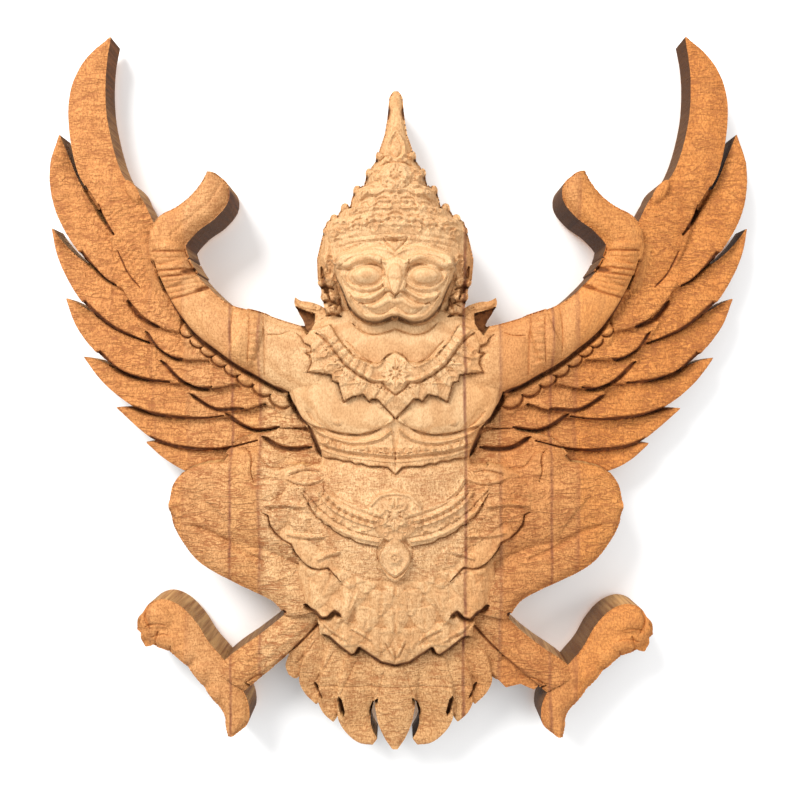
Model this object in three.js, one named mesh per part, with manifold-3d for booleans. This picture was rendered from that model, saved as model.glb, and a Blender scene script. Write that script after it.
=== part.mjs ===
import * as THREE from 'three';
import { mergeVertices } from 'three/addons/utils/BufferGeometryUtils.js';
import Module from 'manifold-3d';

// Garuda wall relief, carved in one piece from a panel glued up from upright wooden staves.
// Millimetres. The flat back lies in the plane y = 0, the carving faces -Y and +Z is up.
// The origin is the middle of the back.
// Places on the front are [out, up] in hundredths of the span, for the half at +X.
// Heights above the back are in hundredths of the depth.

const SPAN = 400; // wing tip to wing tip
const DEPTH = 56; // back to the tip of the beak
const FEATHER_STEP = 4.5; // drop from one long feather to the next
const COVERT_STEP = 5; // drop below the free edge of a short feather
const TAIL_STEP = 2.5; // drop from one tail feather to the next
const CLAW_STEP = 0.5; // drop from one claw to the next
const LEADING_CROWN = 1.4; // how far the leading feather falls to both its edges
const BAND_LIFT = 1.6; // how far belts, collars and bands stand off the body
const TIP_WIDTH = 1.2; // width of a feather at its blunt tip
const EDGE_ROUND = 0.8; // fall of a plate's top at its edges
const SUNK = 2; // stock behind the back plane, cut off flat
const FACETS = 9600; // triangles that the carving is left with
const SHORTEST_EDGE = 0.04; // edges below this are taken out
const LEAST_AREA = 1e-6; // a facet or a distance below this counts as none
const LEAST_AFTER = LEAST_AREA * 10; // no facet is left smaller than this beside an edge that goes
const LEAST_BEFORE = LEAST_AREA * 100; // a facet that was smaller than this may turn over
const TURN_KEPT = 0.35; // cosine of the most that a facet may turn when an edge beside it goes
const PASS_PART = 60; // each pass takes out one edge in this many
const SUMS = 10; // numbers kept for each point while edges are taken out
const MERGE = 1e-4; // points closer than this are one
const LEAST_REACH = 0.004; // keeps the two ends of a dome from closing to a point

const UNIT = SPAN / 100;
const WOOD = { color: 0xdca066, roughness: 0.78, metalness: 0 };

const level = (share) => (DEPTH * share) / 100;
const mix = (a, b, t) => a + (b - a) * t;
const ease = (t) => t * t * (3 - 2 * t);
const arch = (v) => Math.sqrt(Math.max(0, 1 - (2 * v - 1) ** 2));

// Long feathers from the leading edge of the wing down to the hip.
// free is the lower, open edge and tucked the edge under the feather above; both start at the tip.
const LONG_FEATHERS = [
  {
    free: [[48.7, 37.2], [50, 32.4], [49.1, 26.3], [45.6, 20.2], [41.4, 16], [36, 13]],
    tucked: [[48.7, 37.2], [46.5, 31.4], [44.6, 28.2], [41.4, 23.6], [36, 17.5]],
  },
  {
    free: [[50, 24], [48.9, 19.4], [45.5, 13.4], [41.4, 9.7], [36.4, 7.6], [31, 6.5]],
    tucked: [[50, 24], [48.2, 21.5], [46, 19.4], [41.5, 16.6], [34, 13]],
  },
  {
    free: [[47.9, 13.7], [46.2, 9.5], [42.6, 5.4], [38.5, 2.7], [32.7, 1.4], [26, 2]],
    tucked: [[47.9, 13.7], [46.4, 13], [44.5, 11.8], [40, 9.6], [29, 7.5]],
  },
  {
    free: [[45.3, 5.3], [42.4, 1.7], [38.8, -1.2], [35.4, -2.9], [30, -3.6], [22, -3.4]],
    tucked: [[45.3, 5.3], [43.4, 4.9], [41, 3.9], [36, 2.2], [24, 1.2]],
  },
  {
    free: [[40.5, -2], [37, -5.1], [34, -7.1], [29, -8.1], [22, -7.6], [15, -6.5]],
    tucked: [[40.5, -2], [38.6, -1.9], [36, -2.4], [31, -3], [16, -3]],
  },
  {
    free: [[36.3, -6.9], [33.6, -9.2], [30.2, -11.2], [25, -13], [12, -13.5]],
    tucked: [[36.3, -6.9], [34.8, -6.9], [32, -7.3], [26, -7.4], [10, -6.8]],
  },
];

const LEADING_FEATHER = {
  outer: [
    [41.3, 51.1], [44.5, 48.4], [46.7, 44.4], [47.2, 39.5],
    [45.6, 31.3], [42.8, 26.6], [39.8, 18.6], [36, 13.5],
  ],
  inner: [
    [41.2, 51], [41.8, 47.8], [42, 43.5], [41.5, 38.5],
    [39.2, 31], [36.4, 27.6], [34.6, 24], [31, 17.5],
  ],
};
// A knob stands at the root of the leading feather.
const KNOB = { middle: [37.6, 28.4], size: [0.8, 1.9], turn: -0.55 };

// Short feathers that cover the roots of the long ones.
const SHORT_FEATHERS = [
  {
    free: [[39.6, 15.6], [38.2, 13.2], [35.9, 10.8], [33.7, 9.3], [30.5, 8.4]],
    tucked: [[39.6, 15.6], [38.2, 16.4], [35.5, 16], [30.5, 12]],
  },
  {
    free: [[37.2, 10.2], [35.4, 7.7], [33.7, 6.2], [31.4, 4.9], [26.5, 4.6]],
    tucked: [[37.2, 10.2], [35.6, 10.6], [33, 10], [27, 7.5]],
  },
  {
    free: [[34.2, 4.9], [32.5, 3.3], [30.1, 1.6], [27.1, 0.6], [22, 1.4]],
    tucked: [[34.2, 4.9], [32.6, 5.5], [29.5, 5.4], [23, 4.4]],
  },
  {
    free: [[29.8, 0.1], [27.6, -1.3], [25, -2.6], [22, -2.5], [16.5, -0.8]],
    tucked: [[29.8, 0.1], [28.3, 1], [25.5, 1.4], [18, 1.6]],
  },
  {
    free: [[24.8, -3], [22.5, -4.4], [19.9, -5.3], [16.7, -5.1], [11, -4.8]],
    tucked: [[24.8, -3], [23.2, -2.2], [20.5, -1.8], [13.5, -1]],
  },
  {
    free: [[18.9, -6.1], [16.1, -7.9], [13.6, -8.3], [9.5, -8.4]],
    tucked: [[18.9, -6.1], [17.2, -5.2], [14.6, -4.6], [10, -4.4]],
  },
];

// Solid wood of the wing under all its feathers.
const WING_GROUND = {
  lower: [
    [8, -12], [15, -9], [22, -7], [30, -6], [35, -3], [39.5, 2], [43, 9], [44.5, 16], [45.6, 24], [46, 29],
  ],
  upper: [
    [8, 4], [14, 4], [19, 4], [24, 8], [28, 12], [31, 15], [34, 19], [36, 23], [38, 27], [40, 31],
  ],
};

const SCALES_UNDER_ARM = { count: 8, from: [29.2, 7.9], to: [15.8, -1.6], length: 4, width: 2.8, turn: 0.5 };

const ARM = {
  lower: [
    [10.5, -1], [14.9, -0.3], [18.6, 1.5], [25, 5.5], [30.5, 10.4], [33.2, 15.4], [34.6, 19.8], [35, 23],
  ],
  upper: [
    [10.5, 8.6], [14.2, 9.6], [19.4, 11.2], [23.5, 12.3], [26.4, 14.6], [28.9, 17.6], [30, 20.6], [30, 22.4],
  ],
};
// Cuffs on the arm: where each starts and ends as shares of the arm's length, and how far it swells out.
const CUFFS = [
  { from: 0.86, to: 0.94, swell: 0.25, levels: [51, 66] },
  { from: 0.76, to: 0.85, swell: 0.3, levels: [52, 68] },
  { from: 0.3, to: 0.42, swell: 0.15, levels: [56, 76] },
];
const CUFF_EDGE = { rim: 0.25, swell: 0.4, drop: 1.6 }; // sloping part of a cuff at both ends

const HAND = {
  outer: [[34.9, 18.5], [35, 22.2], [33.4, 24.7], [31, 26], [29, 27.5], [27.5, 29.2], [26.5, 30.8]],
  inner: [[29.7, 18.5], [29.9, 20.2], [28.1, 22.5], [25.4, 24.5], [23.6, 26.9], [23.7, 29.1], [25.2, 30.5]],
};

const THIGH = {
  upper: [[10, -10], [16, -9.9], [22.6, -9.7], [26, -9.6], [29.5, -10.6], [31.5, -12.9], [32.05, -15.4]],
  lower: [
    [9, -25], [14, -24], [18, -22.4], [22.4, -21.6], [26.5, -20.8], [29.9, -19.4], [31.4, -17.9], [32, -16.4],
  ],
};

const CALF = {
  outer: [
    [32, -15.2], [31.5, -18.6], [29.9, -21.5], [27.8, -24],
    [23.3, -26.6], [19.9, -28.2], [17.4, -29.5], [15.6, -31.6],
  ],
  inner: [
    [31.2, -14.6], [29.2, -16.5], [26, -18.4], [22, -20],
    [17.5, -21.6], [14, -23.5], [11.6, -26.5], [10.2, -30.5],
  ],
};
const HIP_KNOB = { middle: [20.2, -9.4], size: [2.3, 1.6] };

const SHANK = {
  upper: [[14, -29.6], [16.4, -31.8], [20, -34.6], [23.4, -37], [26, -39.4]],
  lower: [[9.8, -31.6], [12.4, -34.2], [15.2, -36.9], [18.4, -39.6], [21.8, -42.2]],
};

const FOOT = {
  back: [
    [36, -31.7], [35, -30.2], [33, -29.6], [30.7, -30.5], [28.4, -32.8], [26.7, -35.4],
    [24.4, -38.1], [22.3, -41.4], [21.1, -44.6], [21.3, -46.8], [23.2, -48.4],
  ],
  front: [
    [36.6, -33.6], [35.7, -35.2], [34.2, -36.2], [32.3, -36.8], [30.5, -38.1], [28.8, -39.9],
    [27.2, -42], [25.8, -43.8], [24.6, -45.6], [24.4, -47.2], [24, -48.5],
  ],
};

const CLAWS = [
  { free: [[36.9, -34], [36.6, -32.3], [35.4, -31]], tucked: [[36.9, -34], [36, -34.6], [34.8, -34]] },
  { free: [[35.7, -36.5], [36.2, -35], [35.7, -33.6]], tucked: [[35.7, -36.5], [34.7, -36.2], [33.8, -35]] },
];

const TAIL_FEATHERS = [
  {
    free: [[15.3, -40.2], [15.8, -38.9], [15.2, -36.9], [13, -31]],
    tucked: [[15.3, -40.2], [14.2, -40.8], [12.8, -39], [9, -31.5]],
  },
  {
    free: [[11.3, -44.5], [12.9, -42.8], [13.7, -40.8], [13, -37], [11, -33]],
    tucked: [[11.3, -44.5], [10.7, -43.6], [9.9, -40.5], [8.6, -34]],
  },
  {
    free: [[8.9, -47], [10.3, -45.6], [11, -43.8], [10.6, -39.5], [9, -34]],
    tucked: [[8.9, -47], [8.3, -46.2], [7.5, -43], [6.2, -35]],
  },
  {
    free: [[3.2, -50.3], [5, -50], [6.8, -48.6], [8.1, -46.4], [8.2, -42], [6.5, -35]],
    tucked: [[2.5, -49.4], [3.2, -48.2], [3.5, -46.8], [3.1, -44.9], [2.4, -41], [1.6, -35]],
  },
];

const TAIL_MIDDLE = [[0.4, -50.6], [1.5, -49], [2.4, -46.8], [2.8, -44.6], [3.4, -40], [3.6, -35]];

// Layers of the waist cloth, as pairs of edges with the lower one first.
const HIP_CLOTH = {
  lower: [
    [19, -11.5], [18.9, -16.6], [17.6, -18.7], [15.9, -20.6], [14.4, -21.7],
    [13, -23.6], [11, -24.6], [9, -25], [7.6, -26.3], [6.4, -27],
  ],
  upper: [
    [13, -9.8], [11.6, -12], [10.6, -15], [9.4, -17.6], [8.2, -19.4],
    [7, -21], [6, -22.4], [5, -23.6], [4, -25], [3.4, -26],
  ],
};
const SIDE_LOBE = {
  lower: [
    [13.8, -25], [13.5, -28.4], [11.9, -30.4], [10.7, -31.4],
    [9.7, -31.4], [8.9, -30.4], [7.9, -31], [6.8, -32],
  ],
  upper: [[13, -20], [11, -22], [9, -23], [8, -23], [7, -24], [6, -24], [5, -25], [4, -25]],
};
const LOWER_LOBE = {
  lower: [
    [11.4, -30], [10.8, -33.8], [9.6, -34.4], [7.9, -35.9], [6.4, -37], [5.7, -36.7],
    [5.2, -35.8], [3.6, -37.1], [2.4, -37.9], [1.2, -38.3], [-0.4, -38.5],
  ],
  upper: [
    [10.8, -24], [9.6, -24], [8.4, -24], [7.2, -24], [6.2, -24], [5.4, -24],
    [4.6, -24], [3.4, -24], [2.2, -24], [1, -24], [-0.4, -24],
  ],
};

// The two sides were carved a little differently: [out, up, shift outwards along +X, shift upwards],
// with the shifts in millimetres. Between these places the shift is blended by nearness.
const DRIFT = [
  [-45, 40, 0.3, 0.4], [-46, 18, 0.6, 0], [-36, 2, 0, -0.4], [-32, -8, 0, -0.8], [-28, 26, 0.2, 0],
  [-24, 14, 0.4, 0.2], [45, 40, 0.9, 0.4], [48, 18, 2.2, -0.3], [39, 2, 1.8, -1], [32, -9, 1, -1.8],
  [29, 24, -1.6, 0.4], [25, 15, -1.6, 1.4], [17, 11, 0, -0.6], [0, 36, -0.6, 0], [-9, 22, -0.9, 0],
  [9, 22, -1, 0], [-10, 12, -1, 0], [10, 12, -1.8, 0], [0, 0, -0.8, 0], [0, -20, -1.2, 0],
  [-30, -16, 0.4, 0], [31, -13, -2, 0], [29, -20, -1, 0.4], [19, -26, -0.6, 1.4], [-34, -32, -0.3, 1.4],
  [-23, -46, 0.8, 0], [-18, -34, 0.2, 0.2], [34, -32, -2, -1.4], [23, -46, -2.8, -0.4],
  [20, -34, -0.6, -3.6], [0, -46, -1.2, 0.4], [-12, -42, -0.8, 0], [12, -42, -0.8, 0.2],
];
const DRIFT_REACH = 3; // how far around a place its own shift holds
// Wood left standing between the shank and the tail, on one side only.
const LEFT_STANDING = {
  lower: [[11, -37], [14, -40.2], [15.7, -41.9], [17.9, -41.2], [20, -42]],
  upper: [[12, -33], [15, -36], [17, -38], [19, -39.4], [21, -41]],
};

// Bands and collars, as pairs of edges with the lower one first.
const COLLAR = {
  lower: [
    [11.5, 7.8], [12.2, 5.6], [12.4, 2.9], [9.2, 2.6], [7.8, 1.4], [7.5, -1.3],
    [4.8, -0.3], [4, -1.3], [2.9, -0.9], [0.2, -3.6], [-0.4, -3.4],
  ],
  upper: [
    [9.6, 9.2], [9.2, 7.6], [8.4, 6], [7.4, 4.6], [6.2, 3.6], [5, 2.8],
    [3.6, 2.2], [2.4, 1.8], [1.2, 1.4], [0.2, 1.2], [-0.4, 1.2],
  ],
};
const NECKLACE = {
  lower: [[11, 8], [9.6, 5.9], [7.9, 3.9], [4.5, 1.8], [1.9, 1.2], [0.2, -0.2], [-0.4, 0]],
  upper: [[9, 9.4], [7.6, 7.1], [5.8, 4.9], [3.4, 4], [1.9, 4.2], [0.2, 5.5], [-0.4, 5.4]],
};
const BREAST = {
  lower: [[14, -1.6], [13.1, -3.6], [11.7, -4.5], [8, -5.5], [5.1, -5.8], [2.2, -5], [0.3, -3.9]],
  upper: [[14.4, 2.5], [13, 3], [11, 3.4], [8, 3.4], [5, 3], [2.2, 2], [0.3, 1]],
};
const CHEST_BAND = {
  lower: [[10.2, -8.7], [8, -9.4], [5.8, -9.8], [3.5, -10], [1.4, -10.1], [0.2, -11.1], [-0.4, -10.8]],
  upper: [[12.3, -4.6], [8.4, -5.9], [5.4, -6.3], [3.4, -6], [1.7, -5.1], [0.2, -4.2], [-0.4, -4.2]],
};
const BELT = {
  lower: [[12.3, -16], [9.8, -18.3], [7.2, -19.9], [3.7, -20.9], [0.2, -21.4], [-0.4, -21.4]],
  upper: [[12, -13.1], [9.8, -13.8], [7.4, -14.8], [3.7, -16.2], [0.2, -16.8], [-0.4, -16.8]],
};
const BUCKLE = [[0.4, -13.2], [2.4, -13.9], [3.5, -15.2], [3.6, -17], [2.8, -18.8], [1.4, -20], [0.3, -20.5]];
const PENDANT = [[0.3, -20], [1.5, -21.2], [2.2, -23], [1.6, -24.6], [0.3, -26]];
// Rims of the crown's tiers: [up, half width, height of the rim, fall towards the sides].
const CROWN_RIMS = [
  [33.6, 2.2, 0.9, 0.3],
  [29.6, 3.9, 1.1, 0.5],
  [27.2, 5.6, 1.2, 0.8],
  [25, 7.2, 1.2, 1],
  [22.6, 9.2, 1.3, 1.2],
];

// Body and head are stacks of stations: [up, half width, level at the edge, level in the middle].
const BODY = [
  [11.4, 9.6, 58, 72], [9.4, 13, 56, 75], [6, 15.4, 60, 78], [0, 15.1, 61, 79], [-3.5, 13.4, 58, 77],
  [-6, 11.9, 56, 74], [-9, 10.4, 55, 73], [-12, 11.2, 56, 78], [-16, 12.3, 58, 80], [-20, 12.6, 60, 78],
  [-26, 12.6, 58, 72],
];
const SKIRT = [
  [-14, 17, 60, 79], [-20, 16.5, 60, 77], [-26, 15.5, 58, 73], [-31, 14.5, 56, 69], [-39, 13, 50, 61],
];
const STACK_FACETS = 8; // facets across the body and the head
const HEAD = [
  [42.6, 0.4, 43, 48], [41.6, 0.95, 46, 55], [38.3, 1.25, 47, 59], [36.2, 1.6, 48, 62], [34.1, 2.3, 49, 66],
  [32.7, 2.6, 50, 68], [32.1, 3, 50, 71], [31.3, 3.6, 50, 74], [29.8, 4.2, 51, 78], [28.7, 4.5, 52, 80],
  [28.4, 5.6, 52, 82], [27, 6.1, 53, 84], [25.6, 6.4, 53, 85], [25.3, 7.7, 54, 86], [24.2, 8.3, 55, 87],
  [23.8, 9.6, 55, 88], [21.4, 10.3, 55, 89], [18.6, 11, 52, 86], [15.9, 10.9, 48, 82], [13.5, 9.9, 46, 78],
  [11, 9, 46, 74], [8.6, 7.6, 46, 70],
];

const BROW = {
  upper: [[1.4, 18], [3.4, 19.2], [6, 19], [8, 18.4]],
  lower: [[1.6, 16.9], [3.4, 18], [6, 17.6], [7.8, 17]],
};
const LIP = {
  upper: [[0.4, 13.8], [2.4, 13.4], [4.4, 12.6], [6, 12.9]],
  lower: [[0.4, 12.6], [2.4, 12.1], [4.6, 11.4], [6, 12]],
};
const EYE = { middle: [4.1, 15.9], size: [2.2, 1.3] };
const BEAK = [[0.7, 18.6], [1.5, 16.6], [1.8, 15], [1.4, 13.6], [0.3, 12.8]];
const SIDE_CURLS = [[9.5, 15.2], [9.1, 13.2], [8.5, 11.4]];
const CURL_SIZE = [1.2, 0.9];
const EAR_FLARE = {
  upper: [[14.1, 13.4], [13.3, 12.9], [12, 12.7], [10.6, 12.2], [9.2, 11.4]],
  lower: [[14.1, 13.4], [14.2, 12.6], [13.8, 11.4], [13.1, 10.2], [12.3, 8]],
};
// Points that stand out at the ends of the crown's tiers.
const TIER_ENDS = [[9.5, 22.3], [8.5, 24], [7, 25.5], [5.3, 28], [3.6, 30.4], [2.2, 32.8]];
const TIER_END_SIZE = [0.6, 0.8];
const FACE = [
  [0.4, 20.4], [5, 20], [8, 18.8], [8.3, 16.6], [7.3, 14], [6.2, 11.6], [4.6, 10], [2.6, 9.5], [0.4, 10.2],
];

// Heights of the forms: at the tip or rim, and at the root or crown.
const GROUND_LEVEL = 24; // the wood under the feathers
const STANDING_LEVEL = 44; // the wood left standing beside the tail
const LEADING_LEVELS = [32, 45];
const LONG_LEVELS = [31, 44];
const SHORT_LEVELS = [46, 54];
const KNOB_LEVELS = [43, 49];
const SCALE_LEVELS = [50, 55];
const TAIL_LEVELS = [42, 52];
const CLAW_LEVELS = [44, 50];
const HIP_KNOB_LEVELS = [54, 63];
const EAR_LEVELS = [50, 62];
const EYE_LEVELS = [88, 97];
const CURL_LEVELS = [64, 78];
const TIER_END_LEVELS = [58, 68];
const HIP_LEVELS = { middle: 72, side: 66, out: 19 };
// Rims and crowns of rounded limbs, each at its two ends.
const LIMB_LEVELS = {
  arm: { rim: [56, 50], crown: [76, 62] },
  hand: { rim: [50, 55], crown: [62, 67] },
  thigh: { rim: [56, 50], crown: [72, 60] },
  calf: { rim: [50, 50], crown: [58, 62] },
  shank: { rim: [46, 45], crown: [54, 54] },
  foot: { rim: [44, 44], crown: [52, 54] },
  tail: { rim: [42, 52], crown: [48, 58] },
  brow: { rim: [90, 84], crown: [97, 90] },
  lip: { rim: [90, 84], crown: [98, 90] },
  face: { rim: [76, 76], crown: [93, 93] },
  beak: { rim: [88, 92], crown: [94, 100] },
};
// How far each band stands off what it lies on, in lifts of a band, at its lower and upper edges.
const LIFTS = {
  breast: [1.8, -1],
  collar: [2.2, 2.2],
  necklace: [3.2, 3.2],
  chestBand: [1, 1],
  belt: [1, 1],
  hipCloth: [1, -1],
  sideLobe: [1.6, -1],
  lowerLobe: [0, -0.5],
  buckle: 1.6,
  pendant: 2,
};

const manifold = await Module();
manifold.setup();

// Points spaced evenly along a smooth line through the given places.
function smoothLine(places, steps) {
  const points = places.map(([out, up]) => new THREE.Vector3(out * UNIT, up * UNIT, 0));
  return new THREE.CatmullRomCurve3(points, false, 'centripetal').getSpacedPoints(steps);
}

// Closed geometry over rows of [x, z, height]; its walls drop straight to behind the back plane.
function columnOverRows(rows) {
  const rings = rows.map((row) => {
    const first = row[0];
    const last = row[row.length - 1];
    return [[first[0], first[1], -SUNK], ...row, [last[0], last[1], -SUNK]];
  });
  const size = rings[0].length;
  const positions = rings.flat().flatMap(([x, z, height]) => [x, -height, z]);
  const triangles = [];
  for (let row = 0; row + 1 < rings.length; row += 1) {
    for (let side = 0; side < size; side += 1) {
      const a = row * size + side;
      const b = row * size + ((side + 1) % size);
      triangles.push(a, b, b + size, a, b + size, a + size);
    }
  }
  const end = (rings.length - 1) * size;
  for (let side = 1; side + 1 < size; side += 1) {
    triangles.push(0, side + 1, side);
    triangles.push(end, end + side, end + side + 1);
  }
  const geometry = new THREE.BufferGeometry();
  geometry.setAttribute('position', new THREE.Float32BufferAttribute(positions, 3));
  geometry.setIndex(triangles);
  return geometry;
}

// Rows of points from one edge to the other, with a height for each point.
function rowsBetween(edgeA, edgeB, steps, stops, heightAt) {
  const a = smoothLine(edgeA, steps);
  const b = smoothLine(edgeB, steps);
  for (const [tip, next] of [[0, 1], [steps, steps - 1]]) {
    if (a[tip].distanceTo(b[tip]) < TIP_WIDTH) {
      const across = b[next].clone().sub(a[next]).normalize();
      b[tip].copy(a[tip]).addScaledVector(across, TIP_WIDTH);
    }
  }
  return a.map((start, row) =>
    stops.map((v) => {
      const x = mix(start.x, b[row].x, v);
      const z = mix(start.y, b[row].y, v);
      return [x, z, heightAt(row / steps, v, x / UNIT, z / UNIT)];
    }),
  );
}

const FEATHER_STOPS = [0, 0.55, 1];
const PLATE_STOPS = [0, 0.1, 0.9, 1];

// Shares from 0 to 1, closer together near both ends.
function stopsAcross(count) {
  return Array.from({ length: count + 1 }, (_, i) => (1 - Math.cos((Math.PI * i) / count)) / 2);
}

// A feather: highest along its free edge, sunk by one step at its tucked edge.
function feather({ free, tucked }, [tipLevel, rootLevel], step, steps = 8) {
  const heightAt = (u, v) => {
    const top = level(mix(tipLevel, rootLevel, ease(Math.min(1, u * 1.4))));
    const rise = step * ease(Math.min(1, u * 5)) * (1 - v) ** 1.6;
    const edge = v === 1 ? EDGE_ROUND : 0;
    return top - rise - edge;
  };
  return columnOverRows(rowsBetween(tucked, free, steps, FEATHER_STOPS, heightAt));
}

// A rounded limb between two edges; the levels are given at both ends.
function limb(edgeA, edgeB, { rim, crown }, steps = 9, facets = 5) {
  const heightAt = (u, v) => {
    const low = level(mix(rim[0], rim[1], u));
    const high = level(mix(crown[0], crown[1], u));
    return mix(low, high, arch(v));
  };
  return columnOverRows(rowsBetween(edgeA, edgeB, steps, stopsAcross(facets), heightAt));
}

// A thin layer that follows the body under it.
function layer(edgeA, edgeB, host, lift, steps = 10, stops = PLATE_STOPS) {
  const heightAt = (u, v, out, up) => {
    const edge = v === 0 || v === 1 ? EDGE_ROUND : 0;
    return host(out, up) + lift - edge;
  };
  return columnOverRows(rowsBetween(edgeA, edgeB, steps, stops, heightAt));
}

// A thin layer over places that are joined row by row, with sharp corners.
function cornered({ lower, upper }, host, lifts) {
  const [lift, rise] = lifts.map((share) => share * BAND_LIFT);
  const rows = lower.map(([out, up], row) =>
    PLATE_STOPS.map((v) => {
      const x = mix(out, upper[row][0], v);
      const z = mix(up, upper[row][1], v);
      const edge = v === 0 || v === 1 ? EDGE_ROUND : 0;
      return [x * UNIT, z * UNIT, host(x, z) + mix(lift, rise, v) - edge];
    }),
  );
  return columnOverRows(rows);
}

// A plate with a flat top and rounded edges.
function plate(edgeA, edgeB, [tipLevel, rootLevel], steps = 8) {
  const heightAt = (u, v) => {
    const edge = v === 0 || v === 1 ? EDGE_ROUND : 0;
    return level(mix(tipLevel, rootLevel, u)) - edge;
  };
  return columnOverRows(rowsBetween(edgeA, edgeB, steps, PLATE_STOPS, heightAt));
}

// A low dome on an oval.
function dome([out, up], [wide, tall], [rim, crown], turn = 0, facets = 4) {
  const rows = stopsAcross(facets + 1).map((share) => {
    const along = (share * 2 - 1) * tall;
    const reach = wide * Math.sqrt(Math.max(LEAST_REACH, 1 - (along / tall) ** 2));
    return stopsAcross(facets).map((v) => {
      const side = (v * 2 - 1) * reach;
      const x = out + side * Math.cos(turn) - along * Math.sin(turn);
      const z = up + side * Math.sin(turn) + along * Math.cos(turn);
      const round = Math.sqrt(Math.max(0, 1 - (along / tall) ** 2 - (side / wide) ** 2));
      return [x * UNIT, z * UNIT, level(mix(rim, crown, round))];
    });
  });
  return columnOverRows(rows);
}

// The height of a stack of stations at a place on the front.
function stackHeight(stations, bulge) {
  return (out, up) => {
    let low = stations.length - 1;
    while (low > 1 && stations[low - 1][0] < up) {
      low -= 1;
    }
    const above = stations[low - 1];
    const below = stations[low];
    const t = Math.min(1, Math.max(0, (above[0] - up) / (above[0] - below[0])));
    const half = mix(above[1], below[1], t);
    const rim = mix(above[2], below[2], t);
    const crown = mix(above[3], below[3], t);
    const share = Math.min(1, Math.abs(out) / half);
    return level(mix(rim, crown, (1 - share ** 2) ** bulge));
  };
}

function stack(stations, bulge, facets) {
  const heightAt = stackHeight(stations, bulge);
  const rows = stations.map(([up, half]) =>
    stopsAcross(facets).map((v) => {
      const out = (v * 2 - 1) * half;
      return [out * UNIT, up * UNIT, heightAt(out, up)];
    }),
  );
  return columnOverRows(rows);
}

const onBody = stackHeight(BODY, 0.5);
const onHead = stackHeight(HEAD, 0.5);
const onSkirt = stackHeight(SKIRT, 0.5);
const flip = (places) => places.map(([out, up]) => [-out, up]);

function wing() {
  const forms = [];
  const [tip, root] = LEADING_LEVELS;
  const leading = (u, v) => {
    const ridge = level(mix(tip, root, ease(Math.min(1, u * 1.3))));
    return ridge - LEADING_CROWN * (2 * v - 1) ** 2;
  };
  const { outer, inner } = LEADING_FEATHER;
  forms.push(columnOverRows(rowsBetween(outer, inner, 13, stopsAcross(3), leading)));
  forms.push(dome(KNOB.middle, KNOB.size, KNOB_LEVELS, KNOB.turn, 3));
  for (const shape of LONG_FEATHERS) {
    forms.push(feather(shape, LONG_LEVELS, FEATHER_STEP));
  }
  for (const shape of SHORT_FEATHERS) {
    forms.push(feather(shape, SHORT_LEVELS, COVERT_STEP, 5));
  }
  forms.push(cornered(WING_GROUND, () => level(GROUND_LEVEL), [0, 0]));
  const { count, from, to, length, width, turn } = SCALES_UNDER_ARM;
  const lean = Math.atan2(to[1] - from[1], to[0] - from[0]);
  for (let i = 0; i < count; i += 1) {
    const t = i / (count - 1);
    const middle = [mix(from[0], to[0], t), mix(from[1], to[1], t)];
    forms.push(dome(middle, [length / 2, width / 2], SCALE_LEVELS, lean + turn, 2));
  }
  return forms;
}

// A cuff round the arm, between two shares of its length.
function cuff({ from, to, swell, levels }) {
  const steps = 60;
  const a = smoothLine(ARM.lower, steps);
  const b = smoothLine(ARM.upper, steps);
  const { rim, swell: edgeSwell, drop } = CUFF_EDGE;
  const rows = [];
  for (const share of [from, mix(from, to, rim), mix(from, to, 1 - rim), to]) {
    const at = Math.round(share * steps);
    const inside = share > from && share < to;
    const grow = inside ? swell : swell * edgeSwell;
    const fall = inside ? 0 : drop;
    const along = b[at].clone().sub(a[at]).normalize();
    const start = a[at].clone().addScaledVector(along, -grow * UNIT);
    const end = b[at].clone().addScaledVector(along, grow * UNIT);
    rows.push(
      stopsAcross(5).map((v) => {
        const height = mix(level(levels[0]), level(levels[1]), arch(v)) - fall;
        return [mix(start.x, end.x, v), mix(start.y, end.y, v), height];
      }),
    );
  }
  return columnOverRows(rows);
}

function arm() {
  return [
    limb(ARM.lower, ARM.upper, LIMB_LEVELS.arm, 10),
    limb(HAND.outer, HAND.inner, LIMB_LEVELS.hand, 8),
    ...CUFFS.map(cuff),
  ];
}

function leg() {
  return [
    limb(THIGH.upper, THIGH.lower, LIMB_LEVELS.thigh, 9),
    limb(CALF.outer, CALF.inner, LIMB_LEVELS.calf, 9),
    dome(HIP_KNOB.middle, HIP_KNOB.size, HIP_KNOB_LEVELS, 0, 3),
    limb(SHANK.upper, SHANK.lower, LIMB_LEVELS.shank, 6, 6),
    limb(FOOT.back, FOOT.front, LIMB_LEVELS.foot, 12, 5),
    ...CLAWS.map((claw) => feather(claw, CLAW_LEVELS, CLAW_STEP, 2)),
  ];
}

function tail() {
  return TAIL_FEATHERS.map((shape) => feather(shape, TAIL_LEVELS, TAIL_STEP, 6));
}

function cloth() {
  const onHip = (out) => level(mix(HIP_LEVELS.middle, HIP_LEVELS.side, Math.min(1, out / HIP_LEVELS.out)));
  return [
    cornered(HIP_CLOTH, onHip, LIFTS.hipCloth),
    cornered(SIDE_LOBE, onSkirt, LIFTS.sideLobe),
    cornered(LOWER_LOBE, onSkirt, LIFTS.lowerLobe),
  ];
}

function crownRim([up, half, tall, fall]) {
  const edge = (base) => [-1, -0.5, 0, 0.5, 1].map((share) => [share * half, base - fall * share ** 2]);
  return layer(edge(up + tall), edge(up), onHead, BAND_LIFT, 8);
}

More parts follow.
